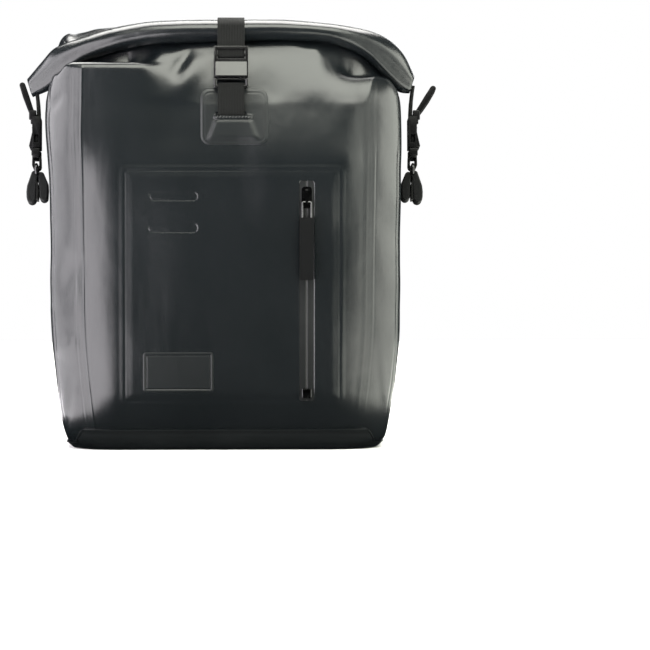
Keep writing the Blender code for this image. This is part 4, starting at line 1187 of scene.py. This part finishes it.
# ---------------------------------------------------------------- carried-over hardware


def dress_cad_nodes():
    """Procedural finishes and eased edges for the CAD nodes that stay in view."""
    for name, obj in NODES.items():
        if obj.hide_render:
            continue
        slot = obj.data.materials[0].name.split(".")[0]
        obj.data.materials.clear()
        obj.data.materials.append(FOLD if name == "zip_pull_tab" else BY_SLOT[slot])
        if name not in ("back_board", "base_board", "roll_stiffener"):
            round_edges(obj, 0.00035, 2, 30)


# ---------------------------------------------------------------- stage


GREEN, MAUVE, WARM, WHITE = (0.98, 1.0, 0.90), (1.0, 0.965, 1.0), (1.0, 0.985, 0.95), (1.0, 1.0, 1.0)
# Softboxes: name, place, what it faces, size, radiance, colour.
SOFTBOXES = (
    ("front_box", (0.22, -1.05, 1.74), (0, -0.09, 0.32), (1.8, 1.30), 9.0, GREEN),
    ("left_near", (-1.02, -1.16, 0.50), (-0.1, -0.05, 0.2), (0.80, 1.0), 7.0, MAUVE),
    ("left_far", (-1.45, -0.05, 0.60), (-0.1, 0.0, 0.2), (1.6, 1.15), 6.3, MAUVE),
    ("left_low", (-0.79, -0.50, 0.015), (-0.79, -0.50, 1.0), (1.2, 1.3), 7.0, MAUVE),
    ("right_box", (1.45, -0.20, 0.60), (0.1, 0.0, 0.25), (1.4, 1.15), 6.5, GREEN),
    ("right_near", (1.08, -1.08, 0.50), (0.1, -0.05, 0.2), (0.60, 1.0), 2.3, GREEN),
    ("right_low", (0.79, -0.35, 0.015), (0.79, -0.35, 1.0), (1.1, 1.2), 5.0, GREEN),
    ("roof_box", (0, 0.65, 1.80), (0, 0, 0.38), (1.8, 1.2), 11.0, WARM),
    ("back_box", (0.5, 2.2, 0.9), (0, 0, 0.2), (1.6, 1.0), 3.0, WHITE),
)
FLOOR_REACH = 1.7
# The camera: its distance from the bag's front, the width that it takes in there, its height and its aim.
CAMERA_DISTANCE = 3.41
CAMERA_FIELD = 0.614
CAMERA_HEIGHT = 0.30
CAMERA_AIM = (0.0945, 0.119)
SENSOR_WIDTH = 36


def softbox(name, place, target, size, radiance, colour):
    """An area light of this radiance, so that its highlights don't change with its size."""
    light = bpy.data.lights.new(name, "AREA")
    light.shape = "RECTANGLE"
    light.size, light.size_y = size
    light.energy = math.pi * size[0] * size[1] * radiance
    light.color = colour
    obj = add_object(name, light)
    obj.location = place
    obj.rotation_euler = (Vector(target) - Vector(place)).to_track_quat("-Z", "Y").to_euler()
    obj.visible_camera = False


def build_stage():
    corners = [(FLOOR_REACH * x, FLOOR_REACH * y, 0) for x, y in ((-1, -1), (1, -1), (1, 1), (-1, 1))]
    floor = add_mesh("floor", corners, [(0, 1, 2, 3)])
    floor.data.materials.append(
        surface("floor_paper", (0.90, 0.90, 0.90), (0.93, 0.93, 0.93), 0.9, 0.03, ((60, 0.0002),), 3)
    )
    floor.visible_glossy = False
    world = bpy.data.worlds.new("studio")
    bpy.context.scene.world = world
    world.use_nodes = True
    tree = world.node_tree
    tree.nodes.clear()
    rays = node(tree, "LightPath").outputs["Is Camera Ray"]
    dim = node(tree, "Background", {"Color": (0.70, 0.80, 0.86, 1), "Strength": 0.018}).outputs[0]
    white = node(tree, "Background", {"Color": (1, 1, 1, 1), "Strength": 1.0}).outputs[0]
    mixed = node(tree, "MixShader", {0: rays, 1: dim, 2: white}).outputs[0]
    out = node(tree, "OutputWorld")
    tree.links.new(mixed, out.inputs["Surface"])
    for settings in SOFTBOXES:
        softbox(*settings)
    bpy.context.scene.view_settings.view_transform = "Standard"


def build_camera():
    """The main view: from in front with a long lens, the bag in the upper left of the frame."""
    camera = bpy.data.cameras.new("camera")
    camera.sensor_width = SENSOR_WIDTH
    camera.lens = SENSOR_WIDTH * CAMERA_DISTANCE / CAMERA_FIELD
    obj = add_object("camera", camera)
    obj.location = (0, FRONT_Y - CAMERA_DISTANCE, CAMERA_HEIGHT)
    aim = Vector((CAMERA_AIM[0], FRONT_Y, CAMERA_AIM[1]))
    obj.rotation_euler = (aim - obj.location).to_track_quat("-Z", "Y").to_euler()
    bpy.context.scene.camera = obj


def main():
    skin = build_skin()
    front = Front(skin)
    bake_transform(skin)
    build_roll()
    build_pocket(front)
    build_anchor_patch(front)
    build_base_patch()
    build_front_strap()
    for side, sign in (("L", -1), ("R", 1)):
        build_side_strap(side, sign)
    dress_cad_nodes()
    build_stage()
    build_camera()


main()
